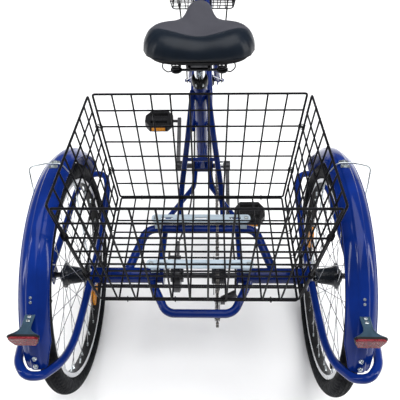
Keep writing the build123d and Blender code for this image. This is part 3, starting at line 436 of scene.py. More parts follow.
def vinyl():
    """Saddle vinyl: black vinyl with a matt seat panel painted grey as painted light from the bright sky
    above, and a glossier black skirt, parted by a moulded crease.
    """
    skin = Skin("vinyl", {"IOR": 1.5, "Specular IOR Level": 0.2, "Coat Weight": 0.05, "Coat Roughness": 0.3})
    spot = skin.node("ShaderNodeSeparateXYZ", {"Vector": skin.place}).outputs
    bow = skin.maths("MULTIPLY", skin.maths("POWER", spot["X"], 2.0), CREASE_BOW)
    past = skin.maths("SUBTRACT", skin.maths("SUBTRACT", spot["Y"], AXLE.y + CREASE_Y / 1000), bow)
    ahead = skin.mapped(past, -0.002, 0.004, curve="SMOOTHSTEP")
    # panel is the mask for painted light: the seat panel ahead of the crease and above a height, which gets
    # the grey.
    panel = skin.maths("MULTIPLY", ahead, skin.mapped(spot["Z"], 0.808, 0.822, curve="SMOOTHSTEP"))
    wear = skin.noise(24, 5)
    # dark is the black vinyl itself; grey is painted light on the seat panel, standing for the reflection of
    # the bright sky.
    dark = skin.mixed(wear, (0.003, 0.005, 0.009, 1), (0.006, 0.011, 0.019, 1))
    grey = skin.mixed(wear, (0.036, 0.036, 0.044, 1), (0.056, 0.056, 0.068, 1))
    skin.feed("Base Color", skin.mixed(panel, dark, grey))
    skin.rough(skin.maths("ADD", panel, skin.maths("MULTIPLY", wear, 0.3)), 0.3, 0.62, 0.0, 1.2)
    skin.bump(skin.cells(560, stretch=(1, 0.8, 1)), 0.0002, 0.5)
    skin.bump(skin.noise(1400, 3), 0.00003)
    return skin.material


def prismatic(name, low, high):
    """A moulded reflector: corner-cube cells behind a clear face."""
    skin = Skin(name, {"IOR": 1.49, "Coat Weight": 0.15, "Coat Roughness": 0.05, "Specular IOR Level": 0.2})
    prisms = skin.cells(420, feature="F1")
    skin.tint(prisms, high, low, 0.1, 0.75)
    skin.rough(skin.noise(90, 3), 0.12, 0.28)
    skin.bump(prisms, 0.0006)
    return skin.material


# The saddle's crease between seat panel and skirt: y = CREASE_Y on the middle line, and it bows
# forward by CREASE_BOW times x squared, in metres.
# Ahead of this crease the vinyl's seat panel is painted grey as painted light.
CREASE_Y, CREASE_BOW = 292.0, 1.9

BLUE = (0.002, 0.015, 0.125)
# Frame, housing and fenders wear one blue enamel: the housing's copy is darkened as painted shade and the
# fenders' copy is lightened as painted light.
FRAME_BLUE = enamel("frame_enamel", BLUE)
HOUSING_BLUE_PAINTED_SHADE = enamel("housing_enamel_painted_shade", shade(BLUE, 0.8))
FENDER_BLUE_PAINTED_LIGHT = enamel("fender_enamel_painted_light", shade(BLUE, 1.1))
WIRE = coated_wire()
ZINC = brushed("bright_zinc", (0.78, 0.84, 0.86), 0.2, 0.42, (0.4, 30, 30))
PLATE_ZINC = brushed("plate_zinc", (0.5, 0.6, 0.68), 0.34, 0.5, (0.4, 30, 30), metallic=0.3, dark=0.75)
CHROME = chrome()
RIM = machined_rim()
RIM_BLACK = satin_black("anodised_black", (0.012, 0.012, 0.013), 0.3, 0.5)
SPOKE = brushed("spoke_steel", (0.34, 0.35, 0.37), 0.16, 0.3, (6, 6, 6), scale=40)
DARK_STEEL = brushed("dark_steel", (0.085, 0.085, 0.09), 0.28, 0.5, (3, 20, 20), dark=0.5)
TYRE = rubber("tyre_rubber", (0.004, 0.0045, 0.006))
GRIP = rubber("grip_rubber", (0.01, 0.01, 0.011))
VINYL = vinyl()
PLASTIC = satin_black("black_plastic", (0.01, 0.01, 0.011), 0.32, 0.52)
HUB_BLACK = satin_black("hub_black", (0.008, 0.01, 0.014), 0.2, 0.36, coat=0.4)
BRACKET_GREY = satin_black("bracket_grey", (0.022, 0.042, 0.062), 0.3, 0.48)
RED_LENS = prismatic("red_lens", (0.09, 0.004, 0.008), (0.26, 0.03, 0.04))
AMBER_LENS = prismatic("amber_lens", (0.55, 0.16, 0.005), (0.95, 0.42, 0.03))
CHAIN = brushed("chain_steel", (0.3, 0.28, 0.26), 0.25, 0.5, (8, 8, 8), scale=30, dark=0.35)
CABLE = satin_black("cable_black", (0.012, 0.012, 0.013), 0.3, 0.5, grain=600)

FINISH = {
    "frame_paint": FRAME_BLUE, "housing_paint": HOUSING_BLUE_PAINTED_SHADE, "fender_paint": FENDER_BLUE_PAINTED_LIGHT,
    "basket_coating": WIRE, "bright_steel": ZINC, "chrome_trim": CHROME, "rim_alloy": RIM,
    "dark_steel": DARK_STEEL, "tyre_rubber": TYRE, "grip_rubber": GRIP, "saddle_vinyl": VINYL,
    "black_plastic": PLASTIC, "reflector_red": RED_LENS, "chain_steel": CHAIN, "cable_black": CABLE,
}
OWN_FINISH = {"rear_left_hub": HUB_BLACK, "rear_right_hub": HUB_BLACK, "front_hub": HUB_BLACK,
              "support_plates": PLATE_ZINC}


def finish_cad_nodes():
    """Gives every CAD node its own material, or else the full material of its record slot."""
    for node_name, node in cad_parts.items():
        for held in node.material_slots:
            name = held.material.name if held.material else ""
            match = [FINISH[slot] for slot in FINISH if slot in name] + [FRAME_BLUE]
            held.material = OWN_FINISH.get(node_name, match[0])


finish_cad_nodes()

# How far, in metres, the hard edges of CAD nodes that stay in view are rounded.
SOFTENED = {"stem": 0.001, "cranks": 0.001, "pedal_left": 0.001, "pedal_right": 0.001,
            "brake_lever_left": 0.001, "brake_lever_right": 0.001, "lever_mounts": 0.001,
            "saddle_base": 0.0015}
for node_name, width in SOFTENED.items():
    soften(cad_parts[node_name], width, weld=True)


# ---- wheels --------------------------------------------------------------------------
WHEELS = {"rear_left": "rear_left_wheel", "rear_right": "drive_axle", "front": "front_wheel"}
TYRE_R, SECTION_R = 278.5, 21.2
TREAD_BLOCKS = 112
SPOKES = 36


def tread_depth(lean, turn):
    """How deep the tread is cut, in mm, at an angle over the section and one round the wheel."""
    lean = abs(lean)
    if lean > 62:
        return 0.0
    phase = turn * TREAD_BLOCKS / (2 * math.pi)
    if 9 < lean < 14 or 35 < lean < 39:
        return 1.3
    slant = phase + (lean / 38 if lean < 37 else -lean / 60)
    return 1.2 if slant % 1 < 0.2 and lean > 11 else 0.0


def make_tyre(name, body):
    """A tyre with moulded grooves and blocks over its crown."""
    centre = middle(name + "_tyre")
    leans = [-154, -140, -125, -108, -92, -78, -66, -61.5, -56, -50, -44, -39.5, -38.5, -35.5, -34.5,
             -29, -23, -18, -14.5, -13.5, -9.5, -8.5, -4, 0]
    leans += [-lean for lean in reversed(leans[:-1])]
    rounds = TREAD_BLOCKS * 5
    points = []
    for step in range(rounds):
        turn = 2 * math.pi * step / rounds
        for lean in leans:
            size = SECTION_R + 0.3 - tread_depth(lean, turn)
            x = size * math.sin(math.radians(lean))
            r = TYRE_R + size * math.cos(math.radians(lean))
            points.append((x / 1000, r * math.cos(turn) / 1000, r * math.sin(turn) / 1000))
    shape = Shape()
    shape.add([centre + Vector(point) for point in points], grid_faces(rounds, len(leans), True, True))
    piece(name + "_tread_tyre", shape, [TYRE], body, [name + "_tyre"], sharp=28, origin=centre)


def make_rim(name, body):
    """A double-wall rim: machined side walls, dark well and spoke bed."""
    centre = middle(name + "_rim")
    profile = [(-13, 258.6), (-13.0, 250.2), (-12.2, 248.4), (-9.5, 247.0), (-4, 246.2), (4, 246.2),
               (9.5, 247.0), (12.2, 248.4), (13.0, 250.2), (13, 258.6), (11.8, 259.6), (10.9, 258.2),
               (10.4, 254.2), (0, 252.0), (-10.4, 254.2), (-10.9, 258.2), (-11.8, 259.6)]
    skins = [0, 0, 1, 1, 1, 1, 1, 0, 0, 0, 0, 1, 1, 1, 1, 0, 0]
    shape = Shape()
    turned(shape, centre, (1, 0, 0), [(x / 1000, r / 1000) for x, r in profile], 180, True, skins)
    piece(name + "_double_rim", shape, [RIM, RIM_BLACK], body, [name + "_rim"], origin=centre)


def spoke_ends(index):
    """Where a crossed spoke leaves its hub flange and enters the rim."""
    side = -1 if index % 2 else 1
    step = index // 2
    hub_angle = math.radians(20 * step + (10 if side > 0 else 0))
    rim_angle = hub_angle + math.radians(60 if step % 2 else -60)
    start = Vector((side * 28, 26 * math.cos(hub_angle), 26 * math.sin(hub_angle)))
    end = Vector((side * 2, 247 * math.cos(rim_angle), 247 * math.sin(rim_angle)))
    return start, end, side, step


def make_spokes(name, body):
    """Crossed spokes with bent heads at the hub and plated nipples at the rim."""
    centre = middle(name + "_spokes")
    shape = Shape()
    for index in range(SPOKES):
        start, end, side, step = spoke_ends(index)
        outward = side * (1.7 if step % 2 else -1.7)
        along = (end - start).normalized()
        head, elbow = start - Vector((outward * 0.9, 0, 0)), start + Vector((outward, 0, 0))
        route = [head, elbow, elbow + along * 14, end - along * 12, end]
        sweep(shape, [centre + point / 1000 for point in rounded(route, 2.4, steps=3)], 0.0009, 6)
        nipple = [centre + (end - along * back) / 1000 for back in (13, 12.6, 3, 2, -1.5)]
        sweep(shape, nipple, [0.0012, 0.0018, 0.0018, 0.0024, 0.0024], 8, skin=1)
        cap = head - Vector((outward * 0.35, 0, 0))
        sweep(shape, [centre + head / 1000, centre + cap / 1000], [0.0019, 0.0014], 8)
    piece(name + "_laced_spokes", shape, [SPOKE, ZINC], body, [name + "_spokes"],
          origin=centre)


def make_hub_details(name, body):
    """The spoke heads round both flanges of a hub."""
    centre = middle(name + "_spokes")
    shape = Shape()
    for side in (-1, 1):
        for hole in range(9):
            spot = centre + Vector((side * 0.0301, 0, 0)) + spoke_way(40 * hole + 8) * 0.0235
            turned(shape, spot, (side, 0, 0), [(0, 0.0016), (0.0009, 0.0013), (0.0011, 0)], 10)
    piece(name + "_spoke_heads", shape, [ZINC], body, origin=centre)


def make_valve(name, body, degrees):
    """A car-type valve with its plastic cap, just inside the rim."""
    out = spoke_way(degrees)
    root = middle(name + "_rim") + out * 0.2475
    shape = Shape()
    turned(shape, root, -out, [(-0.002, 0.003), (0.018, 0.003), (0.0185, 0.0024)], 16, skin=1)
    cap = [(0.014, 0.0045), (0.015, 0.0049), (0.028, 0.0047), (0.0305, 0.0042), (0.0318, 0.0026), (0.0322, 0)]
    turned(shape, root, -out, cap, 12, skin=0)
    piece(name + "_valve", shape, [PLASTIC, CHROME], body, sharp=25)


def make_wheel_reflector(name, body, degrees):
    """An amber reflector clipped between the spokes, with a black rib round its middle."""
    out = spoke_way(degrees)
    across = Vector((0, -out.z, out.y))
    centre = middle(name + "_rim") + out * 0.212
    outline = [out * v + across * u - Vector((6.5, 0, 0)) for u, v in
               ((-28, -9), (-22, -13), (22, -13), (28, -9), (34, 8), (30, 13), (-30, 13), (-34, 8))]
    shape = Shape()
    prism(shape, [centre + point / 1000 for point in outline], (0.013, 0, 0), 0)
    rib = [centre + (point * 1.08 + Vector((5.2, 0, 0))) / 1000 for point in outline]
    prism(shape, rib, (0.0026, 0, 0), 1)
    piece(name + "_wheel_reflector", shape, [AMBER_LENS, PLASTIC], body, bevel=0.0008)


def make_wheels():
    """All three wheels. Angles start at the front of the wheel and rise."""
    valve_at = {"rear_left": 141, "rear_right": 206, "front": 120}
    reflector_at = {"rear_left": 290, "rear_right": 338, "front": 300}
    for name, body in WHEELS.items():
        make_tyre(name, body)
        make_rim(name, body)
        make_spokes(name, body)
        make_hub_details(name, body)
        make_valve(name, body, valve_at[name])
        make_wheel_reflector(name, body, reflector_at[name])


make_wheels()


# ---- fenders -------------------------------------------------------------------------
FENDER_R = 338.0
FENDER_HALF, FENDER_DROP = 31.0, 17.0
FENDER_START, FENDER_END = 12.0, 160.5
SHEET = 1.3
STAY_DEG = 78


def crown_at(x):
    """The radius of a fender's section at x: its crown arc and the raised middle rib."""
    arc_r = (FENDER_HALF ** 2 + FENDER_DROP ** 2) / (2 * FENDER_DROP)
    rib = 1.0 / (1.0 + math.exp((abs(x) - 10.5) * 1.9))
    return FENDER_R - arc_r + math.sqrt(arc_r ** 2 - x ** 2) + 2.2 * rib


def front_pinch(share):
    """How far the rounded front end of a fender is drawn in, from 0 at its tip to 1 at full width."""
    return 1.0 if share >= 1 else 0.42 + 0.58 * math.sqrt(1 - (1 - share) ** 2)


def tail_pinch(degrees):
    """How far a fender's tail is drawn in: a long taper and small rounded corners."""
    tail_z = WHEEL_R + FENDER_R * math.sin(math.radians(degrees))
    half = min(FENDER_HALF, 32.0 - 0.2 * max(0.0, 472.0 - tail_z))
    corner = min(1.0, (FENDER_END - degrees) / 1.6)
    return (half - 5.0 * (1 - math.sqrt(1 - (1 - corner) ** 2))) / FENDER_HALF


def make_fender(side_name):
    """A full mudguard of thin sheet whose ends are rounded and whose lips are rolled."""
    centre = middle("rear_%s_tyre" % side_name)
    line = [FENDER_HALF * step / 22 for step in range(-22, 23)]
    span = FENDER_END - FENDER_START
    steps = int(span * 1.6)
    outer, inner = [], []
    for step in range(steps + 1):
        degrees = FENDER_START + span * step / steps
        pinch = front_pinch((degrees - FENDER_START) / 9.0) * tail_pinch(degrees)
        turn = math.radians(degrees)
        for rows, sink in ((outer, 0.0), (inner, SHEET)):
            sizes = [(x * pinch, crown_at(x * pinch) - sink) for x in line]
            rows.append([centre + Vector((x, size * math.cos(turn), size * math.sin(turn))) / 1000
                         for x, size in sizes])
    shape = Shape()
    shell(shape, outer, inner)
    for edge in (0, -1):
        sweep(shape, [row[edge] for row in outer], 0.0013, 8)
    piece("rear_fender_" + side_name, shape, [FENDER_BLUE_PAINTED_LIGHT], "frame",
          ["fender_" + side_name], sharp=50)


def on_fender(degrees, lift, side):
    """A point lift mm above a rear fender's crown line."""
    return Vector((side * TRACK_X, 0, WHEEL_R)) + spoke_way(degrees) * (FENDER_R + lift)


def fender_stay_route(side):
    """A wire stay's corners, from the housing end over the fender and down to the axle's end."""
    near, far = side * 293.0, side * 393.0
    y, z = on_fender(STAY_DEG, 5.5, side).yz
    return [(near, 10, 334), (near, y - 10, z - 34), (side * 316.0, y, z), (side * 352.0, y, z),
            (far, y - 4, z - 8), (far, y - 16, z - 52), (side * 387.4, 6, 352)]


def stay_clip(shape, side):
    """The bent clip plate that holds a stay down on the fender's crown, with its two bolts."""
    for degrees in (STAY_DEG - 1.7, STAY_DEG + 1.7):
        out = spoke_way(degrees)
        along = Vector((1, 0, 0)).cross(out)
        outline = [on_fender(degrees, 2.6, side) + Vector((x, 0, 0)) + along * y
                   for x, y in ((-9, -6), (9, -6), (11, 0), (9, 6), (-9, 6), (-11, 0))]
        prism(shape, placed(outline), out * 0.0016)
        cap_bolt(shape, on_fender(degrees, 4.2, side), out, 0.7)


LENS_MIDDLE = on_fender(138.5, 0.0, 0) + Vector((0, -58, -6))


def bracket_arm(shape, side):
    """The reflector's arm: a plate with raised edges that flares out to the lens."""
    foot = on_fender(139.0, 3.0, side)
    top = LENS_MIDDLE + Vector((side * TRACK_X, 4, 12))
    up = Vector((-1, 0, 0)).cross(top - foot).normalized()
    edge = [(0.0, 9.0), (0.3, 8.7), (0.52, 8.2), (0.66, 9.4), (0.78, 13.0), (0.88, 19.5), (0.96, 27.0),
            (1.0, 29.5)]
    spots = [[foot.lerp(top, share) + Vector((way * half, 0, 0)) for share, half in edge] for way in (-1, 1)]
    outline = spots[0] + list(reversed(spots[1]))
    prism(shape, placed(point - up * 1.6 for point in outline), up * 0.0026)
    for rail in spots:
        sweep(shape, placed(point + up * 0.6 for point in rail), 0.0015)
    for share in (0.1, 0.3):
        turned(shape, place(*(foot.lerp(top, share) + up * 0.8)), up,
               [(0, 0.0042), (0.0016, 0.0042), (0.0026, 0.003), (0.003, 0)], 20, skin=1)


def lens_outline(side, scale, y):
    """A reflector's shield shape, in its upright plane."""
    corners = [(-22, -15), (22, -15), (29, 2), (31, 11), (26, 15), (-26, 15), (-31, 11), (-29, 2)]
    return placed((side * TRACK_X + x * scale, y, LENS_MIDDLE.z + z * scale) for x, z in corners)


def make_fender_brackets():
    """The wire stays, and the reflector arms with their lenses in black frames."""
    stays, arms, lenses = Shape(), Shape(), Shape()
    for side in (-1, 1):
        sweep(stays, rounded(placed(fender_stay_route(side)), 0.016), 0.0019, 10)
        stay_clip(stays, side)
        bracket_arm(arms, side)
        prism(arms, lens_outline(side, 1.03, LENS_MIDDLE.y + 6), (0, -0.0045, 0), 2)
        prism(lenses, lens_outline(side, 0.95, LENS_MIDDLE.y + 3), (0, -0.0058, 0))
    piece("fender_stays", stays, [ZINC], "frame", ["fender_brackets"])
    piece("reflector_arms", arms, [BRACKET_GREY, ZINC, PLASTIC], "frame", bevel=0.0005)
    piece("reflector_faces", lenses, [RED_LENS], "frame", ["reflector_lenses"], bevel=0.0016)


def make_bolts():
    """The bolts of fenders and basket plates, and the dark collar that clamps the seat post."""
    shape = Shape()
    for side in (-1, 1):
        for degrees, size in ((158.8, 0.8), (155.6, 0.8), (15.0, 0.8), (134.8, 0.45), (133.2, 0.45)):
            cap_bolt(shape, on_fender(degrees, 2.4, side), spoke_way(degrees), size)
    for y in (-8.0, 150.0):
        for x in (-126, 126):
            cap_bolt(shape, (x, y, 363), (0, 0, 1), 0.9)
    lean = Vector((0, -math.cos(SEAT_TUBE_TURN), math.sin(SEAT_TUBE_TURN)))
    low = seat_axis_point(683)
    collar = [(0, 0.017), (0, 0.0204), (0.0015, 0.0212), (0.019, 0.0212), (0.023, 0.0202),
              (0.0245, 0.0186), (0.0245, 0.014)]
    turned(shape, place(*low), lean, collar, 48, skin=1)
    ear = low + lean * 11 + Vector((0, -22.5, 0))
    for side in (-1, 1):
        block(shape, place(*(ear + Vector((side * 4.4, 0, 0)))), (0.005, 0.013, 0.017), skin=1)
        cap_bolt(shape, ear + Vector((side * 7, 0, 0)), (side, 0, 0), 0.75)
    piece("frame_fasteners", shape, [ZINC, PLASTIC], "frame", ["frame_bolts"])


make_fender("left")
make_fender("right")
make_fender_brackets()
make_bolts()


# ---- rear basket ---------------------------------------------------------------------
BASKET_FLOOR_Z, BASKET_FOOT_Z, BASKET_TOP_Z = 365.0, 371.0, 705.0
# Half-width and y of a wall's corners: (rear foot, front foot, front top, rear top).
END_CORNERS = ((239.0, -118.0), (235.0, 226.0), (263.0, 252.0), (280.0, -133.0))
SIDE_CORNERS = ((244.0, -112.0), (241.0, 220.0), (273.0, 244.0), (289.0, -125.0))
WIRE_R, BORDER_R = 2.3, 2.9
# The corners in order round an end wall as (side, top), and round a side wall as (front, top).
END_ORDER = ((-1, False), (1, False), (1, True), (-1, True))
SIDE_ORDER = ((False, False), (True, False), (True, True), (False, True))


def mesh_panel(shape, corners, columns, rows, wire_r=WIRE_R, border_r=BORDER_R, corner_r=6.0):
    """Welded wire: a border loop, uprights on one face and cross wires on the other."""
    low_left, low_right, top_right, top_left = placed(corners)
    normal = (low_right - low_left).cross(top_left - low_left).normalized()
    sweep(shape, rounded([low_left, low_right, top_right, top_left], corner_r / 1000, True, 5),
          border_r / 1000, 10, True)

    def spot(u, v):
        low = low_left.lerp(low_right, u)
        return low.lerp(top_left.lerp(top_right, u), v)

    lift = normal * (wire_r * 0.85 / 1000)
    for column in range(1, columns):
        u = column / columns
        sweep(shape, [spot(u, t / 4) + lift for t in range(5)], wire_r / 1000, 8)
    for row in range(1, rows):
        v = row / rows
        sweep(shape, [spot(t / 4, v) - lift for t in range(5)], wire_r / 1000, 8)


def wall_corner(corners, side, front, top):
    """A corner of a basket wall, with its border wire's middle inside the wall's height."""
    half, y = corners[SIDE_ORDER.index((front, top))]
    return (side * half, y, BASKET_TOP_Z - BORDER_R if top else BASKET_FOOT_Z)


def basket_panel(name, node, corners, columns, rows):
    """One welded panel of the rear basket, which stands for a CAD node."""
    shape = Shape()
    mesh_panel(shape, corners, columns, rows)
    piece(name + "_mesh", shape, [WIRE], "frame", [node])


def make_basket():
    """Five welded panels, which hooks and clips tie together."""
    (rear_half, rear_y), (front_half, front_y) = END_CORNERS[:2]
    floor = [(side * (rear_half - 3), rear_y, BASKET_FLOOR_Z) for side in (-1, 1)]
    floor += [(side * (front_half - 3), front_y, BASKET_FLOOR_Z) for side in (1, -1)]
    basket_panel("basket_floor", "basket_floor", floor, 11, 8)
    for name, front in (("basket_front", True), ("basket_rear", False)):
        corners = [wall_corner(END_CORNERS, side, front, top) for side, top in END_ORDER]
        basket_panel(name, name + "_wall", corners, 11, 7)
    for name, side in (("basket_left", -1), ("basket_right", 1)):
        corners = [wall_corner(SIDE_CORNERS, side, front, top) for front, top in SIDE_ORDER]
        basket_panel(name, name + "_wall", corners, 8, 7)


def coil_clip(shape, low, high, along):
    """A spiral clip of wire wound round two neighbouring border wires."""
    axis = Vector(along).normalized()
    across = (high - low).normalized()
    lift = axis.cross(across).normalized()
    reach = (high - low).length / 2 + 0.003
    path = helix((low + high) / 2, across * reach, lift * 0.0064, axis * 0.01344, 3.2, 44)
    sweep(shape, path, 0.0012, 6)


def make_basket_clips():
    """Two spiral clips up each corner and hook rings along the floor's edges."""
    shape = Shape()
    for side in (-1, 1):
        for front in (False, True):
            walls = [placed(wall_corner(corners, side, front, top) for top in (False, True))
                     for corners in (END_CORNERS, SIDE_CORNERS)]
            for share in (0.3, 0.72):
                low, high = (wall[0].lerp(wall[1], share) for wall in walls)
                coil_clip(shape, low, high, walls[0][1] - walls[0][0])
    half, rear = END_CORNERS[0]
    fore = END_CORNERS[1][1]
    ring_z = BASKET_FLOOR_Z + 2.7
    for share in (0.14, 0.38, 0.62, 0.86):
        for edge in (rear, fore):
            hook_ring(shape, place((2 * share - 1) * half, edge, ring_z), Vector((1, 0, 0)))
        for edge in (-half - 1, half + 1):
            hook_ring(shape, place(edge, rear + share * (fore - rear), ring_z), Vector((0, 1, 0)))
    piece("basket_clips", shape, [WIRE], "frame")


def hook_ring(shape, centre, along):
    """A closed wire ring that ties a wall's foot to the floor's edge."""
    u, v = along.orthogonal().normalized(), along.cross(along.orthogonal()).normalized()
    path = [centre + (u * math.cos(a) + v * math.sin(a)) * 0.0062 + along * (0.001 * math.sin(a))
            for a in (2 * math.pi * step / 20 for step in range(20))]
    sweep(shape, path, 0.0012, 6, True)


make_basket()
make_basket_clips()


# ---- saddle --------------------------------------------------------------------------
# The saddle's plan outline as (y, half-width), from its wide rear to its nose.
SADDLE_OUTLINE = ((243, 60), (246, 82), (254, 104), (270, 122), (294, 132), (318, 134), (340, 131),
                  (358, 121), (372, 104), (382, 84), (391, 64), (400, 47), (414, 38), (434, 33),
                  (456, 29.5), (472, 25.5), (483, 20), (491, 12), (495, 4))
SADDLE_REAR, SADDLE_NOSE = SADDLE_OUTLINE[0][0], SADDLE_OUTLINE[-1][0]
SADDLE_CROWN_Z, SADDLE_SKIRT_Z = 841.2, 789.5
SPRING_X, SPRING_Y = 56.0, 293.0


def ease(t):
    """A smooth step from 0 to 1."""
    t = min(1.0, max(0.0, t))
    return t * t * (3 - 2 * t)


def saddle_half_width(y):
    """The saddle's half-width at y."""
    for (y0, half0), (y1, half1) in zip(SADDLE_OUTLINE, SADDLE_OUTLINE[1:]):
        if y <= y1:
            return half0 + (half1 - half0) * (y - y0) / (y1 - y0)
    return SADDLE_OUTLINE[-1][1]


def skirt_z(y):
    """The height of the padding's foot, which rises towards the nose."""
    return SADDLE_SKIRT_Z + 9 * ease((y - 400) / 90)


def saddle_edge():
    """A search tree of points along the saddle's plan outline."""
    outline = []
    for step in range(501):
        y = SADDLE_REAR + (SADDLE_NOSE - SADDLE_REAR) * step / 500
        outline += [(-saddle_half_width(y), y), (saddle_half_width(y), y)]
    outline += [(2 * step, SADDLE_REAR) for step in range(-30, 31)]
    tree = KDTree(len(outline))
    for index, (x, y) in enumerate(outline):
        tree.insert((x, y, 0), index)
    tree.balance()
    return tree


def saddle_top(x, y, inside):
    """The height of the padding: full lobes, a dish between them and a nose that falls away."""
    round_r = 18 + 28 * ease((424 - y) / 60)
    edge = max(0.0, 1 - inside / round_r)
    lobes = 3.2 * math.exp(-((abs(x) - 84) / 34) ** 2 - ((y - 322) / 48) ** 2)
    dish = 9.5 * math.exp(-(x / 46) ** 2) * ease((440 - y) / 90)
    fall = 9.0 * ease((y - 440) / 60)
    crease = 1.0 * math.exp(-((y - CREASE_Y - CREASE_BOW * x * x / 1000) / 3.4) ** 2)
    return SADDLE_CROWN_Z + lobes - dish - fall - crease - round_r * (1 - math.sqrt(1 - edge ** 2))


def saddle_solid():
    """The padded top as a closed solid before its edges are eased."""
    tree = saddle_edge()
    rows, columns = 84, 56
    tops, feet = [], []
    for row in range(rows + 1):
        y = SADDLE_REAR + (SADDLE_NOSE - SADDLE_REAR) * row / rows
        line = [saddle_half_width(y) * math.sin(math.pi / 2 * (2 * column / columns - 1))
                for column in range(columns + 1)]
        inside = [tree.find((x, y, 0))[2] for x in line]
        tops.append([place(x, y, saddle_top(x, y, reach)) for x, reach in zip(line, inside)])
        feet.append([place(x, y, skirt_z(y) + 5 * (1 - ease(reach / 9))) for x, reach in zip(line, inside)])
    shape = Shape()
    shell(shape, tops, feet)
    return shape


def make_saddle():
    """The cover, remeshed evenly and smoothed so the vinyl looks stretched over its foam."""
    made = piece("saddle_pad", saddle_solid(), [VINYL], "seat", ["saddle_cover"])
    modify(made, "REMESH", mode="VOXEL", voxel_size=0.0026)
    modify(made, "SMOOTH", factor=0.5, iterations=7)
    settled = bpy.data.meshes.new_from_object(made.evaluated_get(bpy.context.evaluated_depsgraph_get()))
    made.modifiers.clear()
    made.data = settled
    settled.materials.clear()
    settled.materials.append(VINYL)
    settled.shade_smooth()
    seam = Shape()
    stations = range(SADDLE_REAR + 1, SADDLE_NOSE, 3)
    welt = [(saddle_half_width(y) - 1.2, y) for y in stations]
    welt += [(-x, y) for x, y in reversed(welt)]
    path = placed((x, y, skirt_z(y) + 6) for x, y in welt)
    sweep(seam, rounded(path, 0.004, True, 2), 0.0014, 8, True)
    piece("saddle_welt", seam, [PLASTIC], "seat")


def make_springs():
    """Coil springs under the saddle's rear, their caps, and the wire loops beside them."""
    coils, caps = Shape(), Shape()
    across, ahead, climb = Vector((0.0096, 0, 0)), Vector((0, 0.0096, 0)), Vector((0, 0, 0.032))
    cup = [(-0.0035, 0), (-0.0035, 0.0125), (-0.002, 0.0138), (0.0025, 0.0138), (0.004, 0.0105), (0.004, 0)]
    for side in (-1, 1):
        core = place(side * SPRING_X, SPRING_Y, 762)
        coil = helix(core, across, ahead, climb, 4.6, 110, swell=0.125)
        sweep(coils, coil, 0.0021)
        loop = [(side * 60, 286, 746), (side * 76, 270, 752), (side * 88, 266, 766), (side * 82, 276, 783)]
        sweep(coils, rounded(placed(loop), 0.012, steps=5), 0.0016, 8)
        for z, way in ((744, 1), (779, -1)):
            turned(caps, place(side * SPRING_X, SPRING_Y, z), (0, 0, way), cup, 32)
    piece("spring_coils", coils, [DARK_STEEL], "seat", ["saddle_springs"])
    piece("spring_cups", caps, [PLASTIC], "seat")


make_saddle()
make_springs()


# ---- front basket, grips and pedals --------------------------------------------------
FRONT_FLOOR, FRONT_TOP = (200.0, 826.0, 972.0, 652.0), (290.0, 800.0, 1026.0, 866.0)


def front_corner(side, front, top):
    """A corner of the front basket."""
    width, rear, fore, z = FRONT_TOP if top else FRONT_FLOOR
    return (side * width / 2, fore if front else rear, z)


def make_front_basket():
    """The wire basket ahead of the handlebar, on two struts with eyes on the front axle."""
    shape = Shape()
    sizes = (1.5, 1.9, 14)
    mesh_panel(shape, [front_corner(side, front, False) for side, front in END_ORDER], 8, 6, *sizes)
    for front in (False, True):
        mesh_panel(shape, [front_corner(side, front, top) for side, top in END_ORDER], 9, 8, *sizes)
    for side in (-1, 1):
        mesh_panel(shape, [front_corner(side, front, top) for front, top in SIDE_ORDER], 7, 8, *sizes)
    rim = placed(front_corner(side, front, True) for side, front in END_ORDER)
    sweep(shape, rounded(rim, 0.02, True, 8), 0.0031, 12, True)
    eye = [(0, 0.0052), (0, 0.0095), (0.0036, 0.0095), (0.0036, 0.0052)]
    for side in (-1, 1):
        foot, top = side * 69, side * 86
        strut = [(foot, 950, 300), (foot, 950, 306), (foot, 952, 360), (top, 946, 628), (top, 928, 649)]
        sweep(shape, rounded(placed(strut), 0.018, steps=5), 0.0026, 10)
        turned(shape, place(side * 67, 950, 300), (side, 0, 0), eye, 32, True)
    piece("front_basket_mesh", shape, [WIRE], "steering", ["front_basket"])


def make_grips():
    """Ribbed rubber grips with a flange at the inner end."""
    shape = Shape()
    profile = [(-0.001, 0), (-0.001, 0.0135), (0.001, 0.0158), (0.004, 0.0158)]
    for rib in range(25):
        ridge = ((0.007, 0.0146), (0.0078, 0.0163), (0.0098, 0.0163), (0.0104, 0.0146))
        profile += [(along + rib * 0.0042, radius) for along, radius in ridge]
    profile += [(0.1135, 0.0152), (0.1145, 0.0165), (0.117, 0.0165), (0.118, 0.0155), (0.118, 0.0112)]
    for side in (-1, 1):
        end, inner = place(side * 310, 490, 1034), place(side * 300, 652, 1040)
        turned(shape, end, inner - end, profile, 40)
    piece("ribbed_grips", shape, [GRIP], "steering", ["grips"])


def make_pedal_details():
    """Grip ribs on the pedals' bars and amber reflectors on their ends."""
    for name, side, way in (("pedal_left", -1, 1), ("pedal_right", 1, -1)):
        y = BB_Y + way * CRANK_LENGTH * math.cos(CRANK_TURN)
        z = BB_Z + way * CRANK_LENGTH * math.sin(CRANK_TURN)
        ribs, lenses = Shape(), Shape()
        for bar in (-34, -9, 9, 34):
            for step in range(-3, 4):
                for height in (z - 12, z + 12):
                    spot = place(side * PEDAL_X + step * 8, y + bar, height)
                    block(ribs, spot, (0.0034, 0.011, 0.0018))
        for end in (-1, 1):
            block(lenses, place(side * PEDAL_X, y + end * 46.2, z), (0.046, 0.0024, 0.012))
        piece(name + "_ribs", ribs, [PLASTIC], name, bevel=0.0005)
        piece(name + "_reflectors", lenses, [AMBER_LENS], name, bevel=0.0006)


make_front_basket()
make_grips()
make_pedal_details()


# ---- chain ---------------------------------------------------------------------------
CHAIN_PITCH = 12.7


